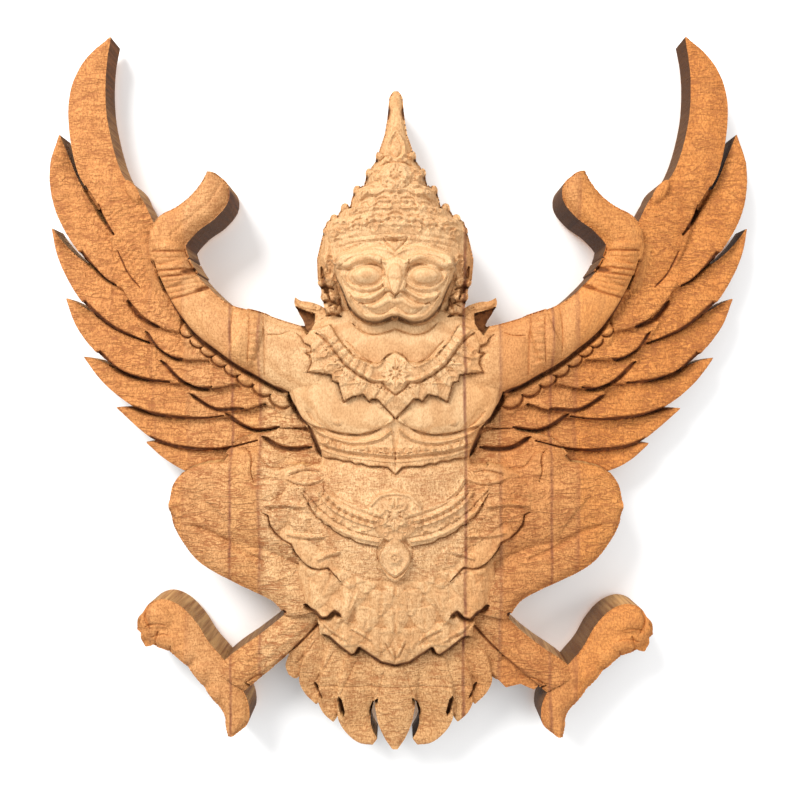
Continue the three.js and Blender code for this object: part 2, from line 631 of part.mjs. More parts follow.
function headSide() {
  return [
    dome(EYE.middle, EYE.size, EYE_LEVELS),
    limb(BROW.upper, BROW.lower, LIMB_LEVELS.brow, 6, 4),
    limb(LIP.upper, LIP.lower, LIMB_LEVELS.lip, 6, 4),
    plate(EAR_FLARE.upper, EAR_FLARE.lower, EAR_LEVELS, 6),
    ...SIDE_CURLS.map((curl) => dome(curl, CURL_SIZE, CURL_LEVELS, 0, 3)),
    ...TIER_ENDS.map((point) => dome(point, TIER_END_SIZE, TIER_END_LEVELS, 0, 3)),
  ];
}

function middle() {
  return [
    stack(BODY, 0.5, STACK_FACETS),
    limb(TAIL_MIDDLE, flip(TAIL_MIDDLE), LIMB_LEVELS.tail, 8, 6),
    cornered(LEFT_STANDING, () => level(STANDING_LEVEL), [0, 0]),
    layer(BUCKLE, flip(BUCKLE), onBody, BAND_LIFT * LIFTS.buckle, 7),
    layer(PENDANT, flip(PENDANT), onBody, BAND_LIFT * LIFTS.pendant, 6),
    ...CROWN_RIMS.map(crownRim),
    stack(HEAD, 0.5, STACK_FACETS),
    limb(FACE, flip(FACE), LIMB_LEVELS.face, 10, 8),
    limb(BEAK, flip(BEAK), LIMB_LEVELS.beak, 6, 6),
  ];
}

function bands() {
  return [
    cornered(BREAST, onBody, LIFTS.breast),
    cornered(COLLAR, onBody, LIFTS.collar),
    cornered(NECKLACE, onBody, LIFTS.necklace),
    cornered(CHEST_BAND, onBody, LIFTS.chestBand),
    cornered(BELT, onBody, LIFTS.belt),
  ];
}

function toSolid(geometry) {
  const merged = mergeVertices(geometry, MERGE);
  const position = merged.getAttribute('position');
  const index = Array.from(merged.getIndex().array);
  const [a, b, c] = [new THREE.Vector3(), new THREE.Vector3(), new THREE.Vector3()];
  let volume = 0;
  for (let i = 0; i < index.length; i += 3) {
    a.fromBufferAttribute(position, index[i]);
    b.fromBufferAttribute(position, index[i + 1]);
    c.fromBufferAttribute(position, index[i + 2]);
    volume += a.dot(b.cross(c));
  }
  if (volume < 0) {
    index.reverse();
  }
  return new manifold.Manifold(
    new manifold.Mesh({
      numProp: 3,
      vertProperties: new Float32Array(position.array),
      triVerts: new Uint32Array(index),
    }),
  );
}

// Ten sums stand for the squares of a point's distances from the planes of its facets.
function addPlane(sums, vertex, normal, offset, weight) {
  const terms = [normal.x, normal.y, normal.z, offset];
  let slot = vertex * SUMS;
  for (let row = 0; row < 4; row += 1) {
    for (let column = row; column < 4; column += 1) {
      sums[slot] += terms[row] * terms[column] * weight;
      slot += 1;
    }
  }
}

function planeCost(sums, a, b, point) {
  const terms = [point.x, point.y, point.z, 1];
  let cost = 0;
  let slot = 0;
  for (let row = 0; row < 4; row += 1) {
    for (let column = row; column < 4; column += 1) {
      const twice = row === column ? 1 : 2;
      cost += twice * (sums[a * SUMS + slot] + sums[b * SUMS + slot]) * terms[row] * terms[column];
      slot += 1;
    }
  }
  return cost;
}

// The normal of a facet, as long as twice its area; one of its points may be moved first.
function normalOf(points, facet, moving = -1, place = null) {
  const [p, q, r] = facet.map((vertex) => (vertex === moving ? place : points[vertex]));
  return q.clone().sub(p).cross(r.clone().sub(p));
}

function skinOf(vertProperties, triVerts) {
  const points = [];
  for (let i = 0; i < vertProperties.length; i += 3) {
    points.push(new THREE.Vector3().fromArray(vertProperties, i));
  }
  const facets = [];
  for (let i = 0; i < triVerts.length; i += 3) {
    facets.push([triVerts[i], triVerts[i + 1], triVerts[i + 2]]);
  }
  const sums = new Float64Array(points.length * SUMS);
  for (const facet of facets) {
    const normal = normalOf(points, facet);
    const doubleArea = normal.length();
    if (doubleArea > LEAST_AREA) {
      normal.divideScalar(doubleArea);
      const offset = -normal.dot(points[facet[0]]);
      facet.forEach((vertex) => addPlane(sums, vertex, normal, offset, doubleArea));
    }
  }
  return { points, facets, sums };
}

// Every edge with the point it would shrink to and what that costs the form, the cheapest first.
function rankedEdges({ points, facets, sums }) {
  const onBack = (point) => Math.abs(point.y) < LEAST_AREA;
  const edges = [];
  for (const [a, b, c] of facets) {
    for (const [from, to] of [[a, b], [b, c], [c, a]]) {
      if (from < to) {
        const ends = [points[from], points[to]];
        const choices = [...ends, ends[0].clone().lerp(ends[1], 0.5)];
        const places = ends.some(onBack) ? choices.filter(onBack) : choices;
        const costs = places.map((place) => planeCost(sums, from, to, place));
        const cost = Math.min(...costs);
        const short = ends[0].distanceTo(ends[1]) < SHORTEST_EDGE;
        edges.push({ from, to, place: places[costs.indexOf(cost)], cost, short });
      }
    }
  }
  return edges.sort((one, other) => Number(other.short) - Number(one.short) || one.cost - other.cost);
}

// Shrinks one edge to a point, unless that would open the skin or fold it over.
function shrinkEdge({ points, facets, sums }, { from, to, place }, around, touched, gone) {
  const ring = [...around[from], ...around[to]];
  if (ring.some((at) => facets[at].some((vertex) => touched.has(vertex)))) {
    return false;
  }
  const shared = around[from].filter((at) => around[to].includes(at));
  const besideFrom = new Set(around[from].flatMap((at) => facets[at]));
  const besideTo = new Set(around[to].flatMap((at) => facets[at]));
  const besideBoth = [...besideFrom].filter((vertex) => besideTo.has(vertex)).length - 2;
  const folds = ring.filter((at) => !shared.includes(at)).some((at) => {
    const before = normalOf(points, facets[at]);
    const after = normalOf(points, facets[at], facets[at].includes(from) ? from : to, place);
    const turned = before.dot(after) <= TURN_KEPT * before.length() * after.length();
    return before.length() > LEAST_BEFORE && (after.length() <= LEAST_AFTER || turned);
  });
  if (shared.length !== 2 || besideBoth !== 2 || folds) {
    return false;
  }
  ring.forEach((at) => facets[at].forEach((vertex) => touched.add(vertex)));
  shared.forEach((at) => gone.add(at));
  points[from] = place.clone();
  for (let slot = 0; slot < SUMS; slot += 1) {
    sums[from * SUMS + slot] += sums[to * SUMS + slot];
  }
  for (const at of around[to]) {
    facets[at] = facets[at].map((vertex) => (vertex === to ? from : vertex));
  }
  return true;
}

// Takes out the edges that matter least to the form, very short ones first, and keeps the skin closed.
function withFewerFacets(skin) {
  let busy = true;
  while (busy) {
    const around = skin.points.map(() => []);
    skin.facets.forEach((facet, at) => facet.forEach((vertex) => around[vertex].push(at)));
    const edges = rankedEdges(skin);
    const shortEdges = edges.filter((edge) => edge.short).length;
    const spare = Math.min((skin.facets.length - FACETS) / 2, edges.length / PASS_PART);
    const wanted = Math.max(shortEdges, spare);
    const touched = new Set();
    const gone = new Set();
    for (const edge of edges) {
      if (gone.size / 2 >= wanted) {
        break;
      }
      shrinkEdge(skin, edge, around, touched, gone);
    }
    skin.facets = skin.facets.filter((facet, at) => !gone.has(at));
    busy = gone.size > 0 && (skin.facets.length > FACETS || shortEdges > 0);
  }
  return skin;
}

// Where a point lies once the difference between the two sides is put in.
function drifted({ x, y, z }) {
  let total = 0;
  let outward = 0;
  let upward = 0;
  for (const [out, up, shiftOut, shiftUp] of DRIFT) {
    const distance = (x / UNIT - out) ** 2 + (z / UNIT - up) ** 2;
    const weight = 1 / (distance + DRIFT_REACH ** 2) ** 2;
    total += weight;
    outward += weight * shiftOut;
    upward += weight * shiftUp;
  }
  return [x + outward / total, y, z + upward / total];
}

function geometryOf({ points, facets }) {
  const used = [...new Set(facets.flat())];
  const order = new Map(used.map((vertex, at) => [vertex, at]));
  const geometry = new THREE.BufferGeometry();
  const positions = used.flatMap((vertex) => drifted(points[vertex]));
  geometry.setAttribute('position', new THREE.Float32BufferAttribute(positions, 3));
  geometry.setIndex(facets.flat().map((vertex) => order.get(vertex)));
  return geometry;
}

const mirrored = (geometry) => geometry.clone().scale(-1, 1, 1);

function carving() {
  const pairs = [...wing(), ...arm(), ...leg(), ...tail(), ...cloth(), ...headSide(), ...bands()];
  const forms = [...middle(), ...pairs, ...pairs.map(mirrored)];
  const [firstForm, ...rest] = forms.map(toSolid);
  const block = rest.reduce((sum, form) => sum.add(form), firstForm);
  const behind = new THREE.BoxGeometry(SPAN * 1.5, SUNK * 4, SPAN * 1.5).translate(0, SUNK * 2, 0);
  behind.deleteAttribute('normal');
  behind.deleteAttribute('uv');
  const { vertProperties, triVerts } = block.subtract(toSolid(behind)).getMesh();
  return geometryOf(withFewerFacets(skinOf(vertProperties, triVerts)));
}

const garuda = new THREE.Mesh(carving(), new THREE.MeshStandardMaterial(WOOD));
garuda.name = 'garuda_carving';

const group = new THREE.Group();
group.add(garuda);

export default group;
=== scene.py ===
import math

import bmesh
import bpy
import numpy as np
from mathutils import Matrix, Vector


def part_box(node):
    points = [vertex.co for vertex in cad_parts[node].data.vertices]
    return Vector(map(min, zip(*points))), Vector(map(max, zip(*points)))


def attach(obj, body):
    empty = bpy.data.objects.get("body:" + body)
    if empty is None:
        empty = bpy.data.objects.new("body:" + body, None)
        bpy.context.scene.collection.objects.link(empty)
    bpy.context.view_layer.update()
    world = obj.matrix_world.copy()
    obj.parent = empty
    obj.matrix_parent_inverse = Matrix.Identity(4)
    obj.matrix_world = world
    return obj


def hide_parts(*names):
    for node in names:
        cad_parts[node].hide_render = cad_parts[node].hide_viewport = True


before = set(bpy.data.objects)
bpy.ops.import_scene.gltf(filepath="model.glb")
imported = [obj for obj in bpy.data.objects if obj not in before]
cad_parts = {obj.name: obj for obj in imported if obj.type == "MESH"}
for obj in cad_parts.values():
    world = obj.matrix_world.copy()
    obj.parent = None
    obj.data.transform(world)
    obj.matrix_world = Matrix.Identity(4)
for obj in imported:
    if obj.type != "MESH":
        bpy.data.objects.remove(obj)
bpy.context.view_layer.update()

# A garuda in relief, carved in one piece from a panel glued up from upright staves of wood.
# The carving is worked out as a field of heights above its flat back, in millimetres, over the
# half at +X, and turned into one closed mesh in metres.
# Places on the front are [out, up] in hundredths of the span, levels in hundredths of the depth.
SPAN = 400
DEPTH = 56
UNIT = SPAN / 100
PITCH = 0.5  # distance between two points of the field
STEP_WIDTH = 0.8  # width over which a step between two heights falls
REACH_UP = 204.5  # the field's top and bottom above and below the middle
REACH_OUT = 203
OUTSIDE = -50.0  # depth inside the outline before anything is laid
LEAST_HEIGHT = 3  # the thinnest and the highest wood that is left
HIGHEST = DEPTH - 0.2
THIN = 12  # wood lower than this gets shallower cuts
SHOWN = 0.02  # differences in height below this count as none
CURVE_STOPS = 12  # stops between two given places of a smooth line, and the spacing of its points
SPACING = 1.2
LEAST_TAPER = 0.12  # the narrow end of a line, as a share of its width before a root is taken
WAVE = 0.22  # unevenness of the whole surface, and the marks of a gouge on it
GOUGE = 0.26
HOLLOW_SHADE = 0.5  # shade in what lies lower than the wood around it
KEPT_OUTSIDE = 0.3  # cells are kept as far outside the outline as this share of the pitch
SLOPE_REACH = 0.4  # how far to each side of the rim the outline's slope is read
RIM_MOVE = 0.5  # how far a point of the rim moves at most to meet the outline
METRE = 1000  # in millimetres
TRIANGLES = 194000
FEATHER_STEP = 4.5  # fall of a feather to its free edge
COVERT_STEP = 5
TAIL_STEP = 2.5
CLAW_STEP = 0.5
LEADING_CROWN = 1.4  # rise of the leading feather's middle over its edges
LEADING_LENGTH = 150
BAND_LIFT = 1.6  # one lift of a band
UNDER_ARM_LEVEL = 46
BESIDE_HIP_LEVEL = 52
BESIDE_HIP = [
    [24.4, -8.4], [22.4, -6.4], [19, -5.4], [15, -5], [11.2, -6.2], [10.4, -10.4], [15, -12], [20, -12],
]
BESIDE_WRIST = [
    [36.6, 21], [35.4, 16.4], [34, 12.6], [31.6, 9], [27, 5], [24, 4.6], [27, 8.6], [30.4, 12.4], [32, 16.4],
    [34, 21],
]
BESIDE_CHEEK_LEVEL = 69
BESIDE_CHEEK = [
    [8.6, 16.4], [10.3, 16], [10.2, 13.8], [9.8, 11.8], [9.2, 10.3], [7.4, 10.3], [7.6, 12.4], [8, 14.4],
]
BARB_PITCH = 3.4  # from one barb of a feather to the next
BARB_SHADE_AND_DIRT = 0.3  # grime and painted shade between the barbs
HIP_FALL = 3.4  # how far the hip cloth and the side lobe bend back at their outer ends
LOBE_FALL = 4.5
FOOT_LUMPS = [  # out, up and turn
    [33.6, -31.8, 0.6], [32.2, -35.6, 0.3], [30.4, -37.6, -0.6], [28.4, -40.2, -0.8], [26.8, -43.4, -0.9],
]
ARM_LENGTH = 110
CHEST_MARKS = 0.12  # strength of the tool marks on the chest and on the belly
BELLY_MARKS = 0.62

# Claws and all feathers but the leading one are pairs of edges that start at the tip: first the lower,
# free one, then the one that is tucked under the next.
# Long feathers, from the leading edge of the wing down to the hip.
LONG_FEATHERS = [
    ([[48.7, 37.2], [50, 32.4], [49.1, 26.3], [45.6, 20.2], [41.4, 16], [36, 13]],
     [[48.7, 37.2], [46.5, 31.4], [44.6, 28.2], [41.4, 23.6], [36, 17.5]]),
    ([[50, 24], [48.9, 19.4], [45.5, 13.4], [41.4, 9.7], [36.4, 7.6], [31, 6.5]],
     [[50, 24], [48.2, 21.5], [46, 19.4], [41.5, 16.6], [34, 13]]),
    ([[47.9, 13.7], [46.2, 9.5], [42.6, 5.4], [38.5, 2.7], [32.7, 1.4], [26, 2]],
     [[47.9, 13.7], [46.4, 13], [44.5, 11.8], [40, 9.6], [29, 7.5]]),
    ([[45.3, 5.3], [42.4, 1.7], [38.8, -1.2], [35.4, -2.9], [30, -3.6], [22, -3.4]],
     [[45.3, 5.3], [43.4, 4.9], [41, 3.9], [36, 2.2], [24, 1.2]]),
    ([[40.5, -2], [37, -5.1], [34, -7.1], [29, -8.1], [22, -7.6], [15, -6.5]],
     [[40.5, -2], [38.6, -1.9], [36, -2.4], [31, -3], [16, -3]]),
    ([[36.3, -6.9], [33.6, -9.2], [30.2, -11.2], [25, -13], [12, -13.5]],
     [[36.3, -6.9], [34.8, -6.9], [32, -7.3], [26, -7.4], [10, -6.8]]),
]

LEADING_FEATHER = {
    "outer": [
        [41.3, 51.1], [44.5, 48.4], [46.7, 44.4], [47.2, 39.5], [45.6, 31.3], [42.8, 26.6], [39.8, 18.6],
        [36, 13.5],
    ],
    "inner": [
        [41.2, 51], [41.8, 47.8], [42, 43.5], [41.5, 38.5], [39.2, 31], [36.4, 27.6], [34.6, 24],
        [31, 17.5],
    ],
}
# A knob stands at the root of the leading feather.
KNOB = {"middle": [37.6, 28.4], "size": [0.8, 1.9], "turn": -0.55}

# Short feathers that cover the roots of the long ones.
SHORT_FEATHERS = [
    ([[39.6, 15.6], [38.2, 13.2], [35.9, 10.8], [33.7, 9.3], [30.5, 8.4]],
     [[39.6, 15.6], [38.2, 16.4], [35.5, 16], [30.5, 12]]),
    ([[37.2, 10.2], [35.4, 7.7], [33.7, 6.2], [31.4, 4.9], [26.5, 4.6]],
     [[37.2, 10.2], [35.6, 10.6], [33, 10], [27, 7.5]]),
    ([[34.2, 4.9], [32.5, 3.3], [30.1, 1.6], [27.1, 0.6], [22, 1.4]],
     [[34.2, 4.9], [32.6, 5.5], [29.5, 5.4], [23, 4.4]]),
    ([[29.8, 0.1], [27.6, -1.3], [25, -2.6], [22, -2.5], [16.5, -0.8]],
     [[29.8, 0.1], [28.3, 1], [25.5, 1.4], [18, 1.6]]),
    ([[24.8, -3], [22.5, -4.4], [19.9, -5.3], [16.7, -5.1], [11, -4.8]],
     [[24.8, -3], [23.2, -2.2], [20.5, -1.8], [13.5, -1]]),
    ([[18.9, -6.1], [16.1, -7.9], [13.6, -8.3], [9.5, -8.4]],
     [[18.9, -6.1], [17.2, -5.2], [14.6, -4.6], [10, -4.4]]),
]

# Solid wood of the wing under all its feathers.
WING_GROUND = {
    "lower": [
        [8, -12], [15, -9], [22, -7], [30, -6], [35, -3], [39.5, 2], [43, 9], [44.5, 16], [45.6, 24],
        [46, 29],
    ],
    "upper": [
        [8, 4], [14, 4], [19, 4], [24, 8], [28, 12], [31, 15], [34, 19], [36, 23], [38, 27], [40, 31],
    ],
}

SCALES_UNDER_ARM = {
    "count": 8,
    "from": [29.2, 7.9],
    "to": [15.8, -1.6],
    "length": 4,
    "width": 2.8,
    "turn": 0.5,
}

ARM = {
    "lower": [
        [10.5, -1], [14.9, -0.3], [18.6, 1.5], [25, 5.5], [30.5, 10.4], [33.2, 15.4], [34.6, 19.8],
        [35, 23],
    ],
    "upper": [
        [10.5, 8.6], [14.2, 9.6], [19.4, 11.2], [23.5, 12.3], [26.4, 14.6], [28.9, 17.6], [30, 20.6],
        [30, 22.4],
    ],
}
# Cuffs on the arm: where each starts and ends as shares of the arm's length, and how far it swells out.
CUFFS = [
    {"from": 0.86, "to": 0.94, "swell": 0.25, "levels": [51, 66]},
    {"from": 0.76, "to": 0.85, "swell": 0.3, "levels": [52, 68]},
    {"from": 0.3, "to": 0.42, "swell": 0.15, "levels": [56, 76]},
]

HAND = {
    "outer": [[34.9, 18.5], [35, 22.2], [33.4, 24.7], [31, 26], [29, 27.5], [27.5, 29.2], [26.5, 30.8]],
    "inner": [
        [29.7, 18.5], [29.9, 20.2], [28.1, 22.5], [25.4, 24.5], [23.6, 26.9], [23.7, 29.1], [25.2, 30.5],
    ],
}

THIGH = {
    "upper": [
        [10, -10], [16, -9.9], [22.6, -9.7], [26, -9.6], [29.5, -10.6], [31.5, -12.9], [32.05, -15.4],
    ],
    "lower": [
        [9, -25], [14, -24], [18, -22.4], [22.4, -21.6], [26.5, -20.8], [29.9, -19.4], [31.4, -17.9],
        [32, -16.4],
    ],
}

CALF = {
    "outer": [
        [32, -15.2], [31.5, -18.6], [29.9, -21.5], [27.8, -24], [23.3, -26.6], [19.9, -28.2], [17.4, -29.5],
        [15.6, -31.6],
    ],
    "inner": [
        [31.2, -14.6], [29.2, -16.5], [26, -18.4], [22, -20], [17.5, -21.6], [14, -23.5], [11.6, -26.5],
        [10.2, -30.5],
    ],
}
HIP_KNOB = {"middle": [20.2, -9.4], "size": [2.3, 1.6]}

SHANK = {
    "upper": [[14, -29.6], [16.4, -31.8], [20, -34.6], [23.4, -37], [26, -39.4]],
    "lower": [[9.8, -31.6], [12.4, -34.2], [15.2, -36.9], [18.4, -39.6], [21.8, -42.2]],
}

FOOT = {
    "back": [
        [36, -31.7], [35, -30.2], [33, -29.6], [30.7, -30.5], [28.4, -32.8], [26.7, -35.4], [24.4, -38.1],
        [22.3, -41.4], [21.1, -44.6], [21.3, -46.8], [23.2, -48.4],
    ],
    "front": [
        [36.6, -33.6], [35.7, -35.2], [34.2, -36.2], [32.3, -36.8], [30.5, -38.1], [28.8, -39.9],
        [27.2, -42], [25.8, -43.8], [24.6, -45.6], [24.4, -47.2], [24, -48.5],
    ],
}

CLAWS = [
    ([[36.9, -34], [36.6, -32.3], [35.4, -31]], [[36.9, -34], [36, -34.6], [34.8, -34]]),
    ([[35.7, -36.5], [36.2, -35], [35.7, -33.6]], [[35.7, -36.5], [34.7, -36.2], [33.8, -35]]),
]

TAIL_FEATHERS = [
    ([[15.3, -40.2], [15.8, -38.9], [15.2, -36.9], [13, -31]],
     [[15.3, -40.2], [14.2, -40.8], [12.8, -39], [9, -31.5]]),
    ([[11.3, -44.5], [12.9, -42.8], [13.7, -40.8], [13, -37], [11, -33]],
     [[11.3, -44.5], [10.7, -43.6], [9.9, -40.5], [8.6, -34]]),
    ([[8.9, -47], [10.3, -45.6], [11, -43.8], [10.6, -39.5], [9, -34]],
     [[8.9, -47], [8.3, -46.2], [7.5, -43], [6.2, -35]]),
    ([[3.2, -50.3], [5, -50], [6.8, -48.6], [8.1, -46.4], [8.2, -42], [6.5, -35]],
     [[2.5, -49.4], [3.2, -48.2], [3.5, -46.8], [3.1, -44.9], [2.4, -41], [1.6, -35]]),
]

TAIL_MIDDLE = [[0.4, -50.6], [1.5, -49], [2.4, -46.8], [2.8, -44.6], [3.4, -40], [3.6, -35]]

# Layers of the waist cloth.
HIP_CLOTH = {
    "lower": [
        [19, -11.5], [18.9, -16.6], [17.6, -18.7], [15.9, -20.6], [14.4, -21.7], [13, -23.6], [11, -24.6],
        [9, -25], [7.6, -26.3], [6.4, -27],
    ],
    "upper": [
        [13, -9.8], [11.6, -12], [10.6, -15], [9.4, -17.6], [8.2, -19.4], [7, -21], [6, -22.4], [5, -23.6],
        [4, -25], [3.4, -26],
    ],
}
SIDE_LOBE = {
    "lower": [
        [13.8, -25], [13.5, -28.4], [11.9, -30.4], [10.7, -31.4], [9.7, -31.4], [8.9, -30.4], [7.9, -31],
        [6.8, -32],
    ],
    "upper": [[13, -20], [11, -22], [9, -23], [8, -23], [7, -24], [6, -24], [5, -25], [4, -25]],
}
LOWER_LOBE = {
    "lower": [
        [11.4, -30], [10.8, -33.8], [9.6, -34.4], [7.9, -35.9], [6.4, -37], [5.7, -36.7], [5.2, -35.8],
        [3.6, -37.1], [2.4, -37.9], [1.2, -38.3], [-0.4, -38.5],
    ],
    "upper": [
        [10.8, -24], [9.6, -24], [8.4, -24], [7.2, -24], [6.2, -24], [5.4, -24], [4.6, -24], [3.4, -24],
        [2.2, -24], [1, -24], [-0.4, -24],
    ],
}

# The two sides were carved a little differently: [out, up, shift outwards along +X, shift upwards],
# with the shifts in millimetres. Between these places the shift is blended by nearness.
DRIFT = [
    [-45, 40, 0.3, 0.4], [-46, 18, 0.6, 0], [-36, 2, 0, -0.4], [-32, -8, 0, -0.8], [-28, 26, 0.2, 0],
    [-24, 14, 0.4, 0.2], [45, 40, 0.9, 0.4], [48, 18, 2.2, -0.3], [39, 2, 1.8, -1], [32, -9, 1, -1.8],
    [29, 24, -1.6, 0.4], [25, 15, -1.6, 1.4], [17, 11, 0, -0.6], [0, 36, -0.6, 0], [-9, 22, -0.9, 0],
    [9, 22, -1, 0], [-10, 12, -1, 0], [10, 12, -1.8, 0], [0, 0, -0.8, 0], [0, -20, -1.2, 0],
    [-30, -16, 0.4, 0], [31, -13, -2, 0], [29, -20, -1, 0.4], [19, -26, -0.6, 1.4], [-34, -32, -0.3, 1.4],
    [-23, -46, 0.8, 0], [-18, -34, 0.2, 0.2], [34, -32, -2, -1.4], [23, -46, -2.8, -0.4],
    [20, -34, -0.6, -3.6], [0, -46, -1.2, 0.4], [-12, -42, -0.8, 0], [12, -42, -0.8, 0.2],
]
DRIFT_REACH = 3  # how far around a place its own shift holds
# Wood left standing between the shank and the tail, on one side only.
LEFT_STANDING = {
    "lower": [[11, -37], [14, -40.2], [15.7, -41.9], [17.9, -41.2], [20, -42]],
    "upper": [[12, -33], [15, -36], [17, -38], [19, -39.4], [21, -41]],
}

# Bands, collars and what hangs from them. Their lower edges are among the carved lines.
COLLAR_TOP = [
    [9.6, 9.2], [9.2, 7.6], [8.4, 6], [7.4, 4.6], [6.2, 3.6], [5, 2.8], [3.6, 2.2], [2.4, 1.8], [1.2, 1.4],
    [0.2, 1.2], [-0.4, 1.2],
]
NECKLACE_TOP = [[9, 9.4], [7.6, 7.1], [5.8, 4.9], [3.4, 4], [1.9, 4.2], [0.2, 5.5], [-0.4, 5.4]]
BREAST = {
    "lower": [[14, -1.6], [13.1, -3.6], [11.7, -4.5], [8, -5.5], [5.1, -5.8], [2.2, -5], [0.3, -3.9]],
    "upper": [[14.4, 2.5], [13, 3], [11, 3.4], [8, 3.4], [5, 3], [2.2, 2], [0.3, 1]],
}
BELT_INSIDE = [[12, -13.1], [9.8, -13.8], [7.4, -14.8], [3.7, -16.2], [0.2, -16.8], [-0.4, -16.8]]
BUCKLE = [[0.4, -13.2], [2.4, -13.9], [3.5, -15.2], [3.6, -17], [2.8, -18.8], [1.4, -20], [0.3, -20.5]]
PENDANT = [[0.3, -20], [1.5, -21.2], [2.2, -23], [1.6, -24.6], [0.3, -26]]
# Rims of the crown's tiers: [up, half width, height of the rim, fall towards the sides].
CROWN_RIMS = [[27.2, 5.6, 1.2, 0.8], [25, 7.2, 1.2, 1], [22.6, 9.2, 1.3, 1.2]]

# Body and head are stacks of stations: [up, half width, level at the edge, level in the middle].
BODY = [
    [11.4, 9.6, 58, 72], [9.4, 13, 56, 75], [6, 15.4, 60, 78], [0, 15.1, 61, 79], [-3.5, 13.4, 58, 77],
    [-6, 11.9, 56, 74], [-9, 10.4, 55, 73], [-12, 11.2, 56, 78], [-16, 12.3, 58, 80], [-20, 12.6, 60, 78],
    [-26, 12.6, 58, 72],
]
SKIRT = [
    [-14, 17, 60, 79], [-20, 16.5, 60, 77], [-26, 15.5, 58, 73], [-31, 14.5, 56, 69], [-39, 13, 50, 61],
]
HEAD = [
    [42.6, 0.4, 43, 48], [41.6, 0.95, 46, 55], [38.3, 1.25, 47, 59], [36.2, 1.6, 48, 62],
    [34.1, 2.3, 49, 66], [32.7, 2.6, 50, 68], [32.1, 3, 50, 71], [31.3, 3.6, 50, 74], [29.8, 4.2, 51, 78],
    [28.7, 4.5, 52, 80], [28.4, 5.6, 52, 82], [27, 6.1, 53, 84], [25.6, 6.4, 53, 85], [25.3, 7.7, 54, 86],
    [24.2, 8.3, 55, 87], [23.8, 9.6, 55, 88], [21.4, 10.3, 55, 89], [18.6, 11, 52, 86],
    [15.9, 10.9, 48, 82], [13.5, 9.9, 46, 78], [11, 9, 46, 74], [8.6, 7.6, 46, 70],
]

BROW = {
    "upper": [[1.4, 18], [3.4, 19.2], [6, 19], [8, 18.4]],
    "lower": [[1.6, 16.9], [3.4, 18], [6, 17.6], [7.8, 17]],
}
EYE = {"middle": [4.1, 15.9], "size": [2.2, 1.3]}
BEAK = [[0.7, 18.6], [1.5, 16.6], [1.8, 15], [1.4, 13.6], [0.3, 12.8]]
SIDE_CURLS = [[9.5, 15.2], [9.1, 13.2], [8.5, 11.4]]
CURL_SIZE = [1.2, 0.9]
EAR_FLARE = {
    "upper": [[14.1, 13.4], [13.3, 12.9], [12, 12.7], [10.6, 12.2], [9.2, 11.4]],
    "lower": [[14.1, 13.4], [14.2, 12.6], [13.8, 11.4], [13.1, 10.2], [12.3, 8]],
}
# Points that stand out at the ends of the crown's tiers.
TIER_ENDS = [[9.5, 22.3], [8.5, 24], [7, 25.5], [5.3, 28], [3.6, 30.4], [2.2, 32.8]]
TIER_END_SIZE = [0.6, 0.8]
FACE = [
    [0.4, 20.4], [5, 20], [8, 18.8], [8.3, 16.6], [7.3, 14], [6.2, 11.6], [4.6, 10], [2.6, 9.5],
    [0.4, 10.2],
]

# Levels of the forms: at the tip or rim, and at the root or crown.
GROUND_LEVEL = 24  # the wood under the feathers
STANDING_LEVEL = 44  # the wood left standing beside the tail
LEADING_LEVELS = [32, 45]
LONG_LEVELS = [31, 44]
SHORT_LEVELS = [46, 54]
KNOB_LEVELS = [43, 49]
SCALE_LEVELS = [50, 55]
TAIL_LEVELS = [42, 52]
CLAW_LEVELS = [44, 50]
HIP_KNOB_LEVELS = [54, 63]
EAR_LEVELS = [50, 62]
EYE_LEVELS = [88, 97]
CURL_LEVELS = [64, 78]
TIER_END_LEVELS = [58, 68]
HIP_LEVELS = {"middle": 72, "side": 66, "out": 19}
# Rims and crowns of rounded limbs, each at its two ends.
LIMB_LEVELS = {
    "arm": {"rim": [56, 50], "crown": [76, 62]},
    "hand": {"rim": [50, 55], "crown": [62, 67]},
    "thigh": {"rim": [56, 50], "crown": [72, 60]},
    "calf": {"rim": [50, 50], "crown": [58, 62]},
    "shank": {"rim": [46, 45], "crown": [54, 54]},
    "foot": {"rim": [44, 44], "crown": [52, 54]},
    "tail": {"rim": [42, 52], "crown": [48, 58]},
    "brow": {"rim": [90, 84], "crown": [97, 90]},
    "face": {"rim": [76, 76], "crown": [93, 93]},
    "beak": {"rim": [88, 92], "crown": [94, 100]},
}
# How far each layer stands off what it lies on, in lifts of a band: all over it, or at its lower and
# upper edges.
LIFTS = {
    "breast": [1.8, -1],
    "collar": 2.2,
    "necklace": 3.2,
    "chest_band": 1,
    "belt": 1,
    "hip_cloth": [1, -1],
    "side_lobe": [1.6, -1],
    "lower_lobe": [0, -0.5],
    "buckle": 1.6,
    "pendant": 2,
}

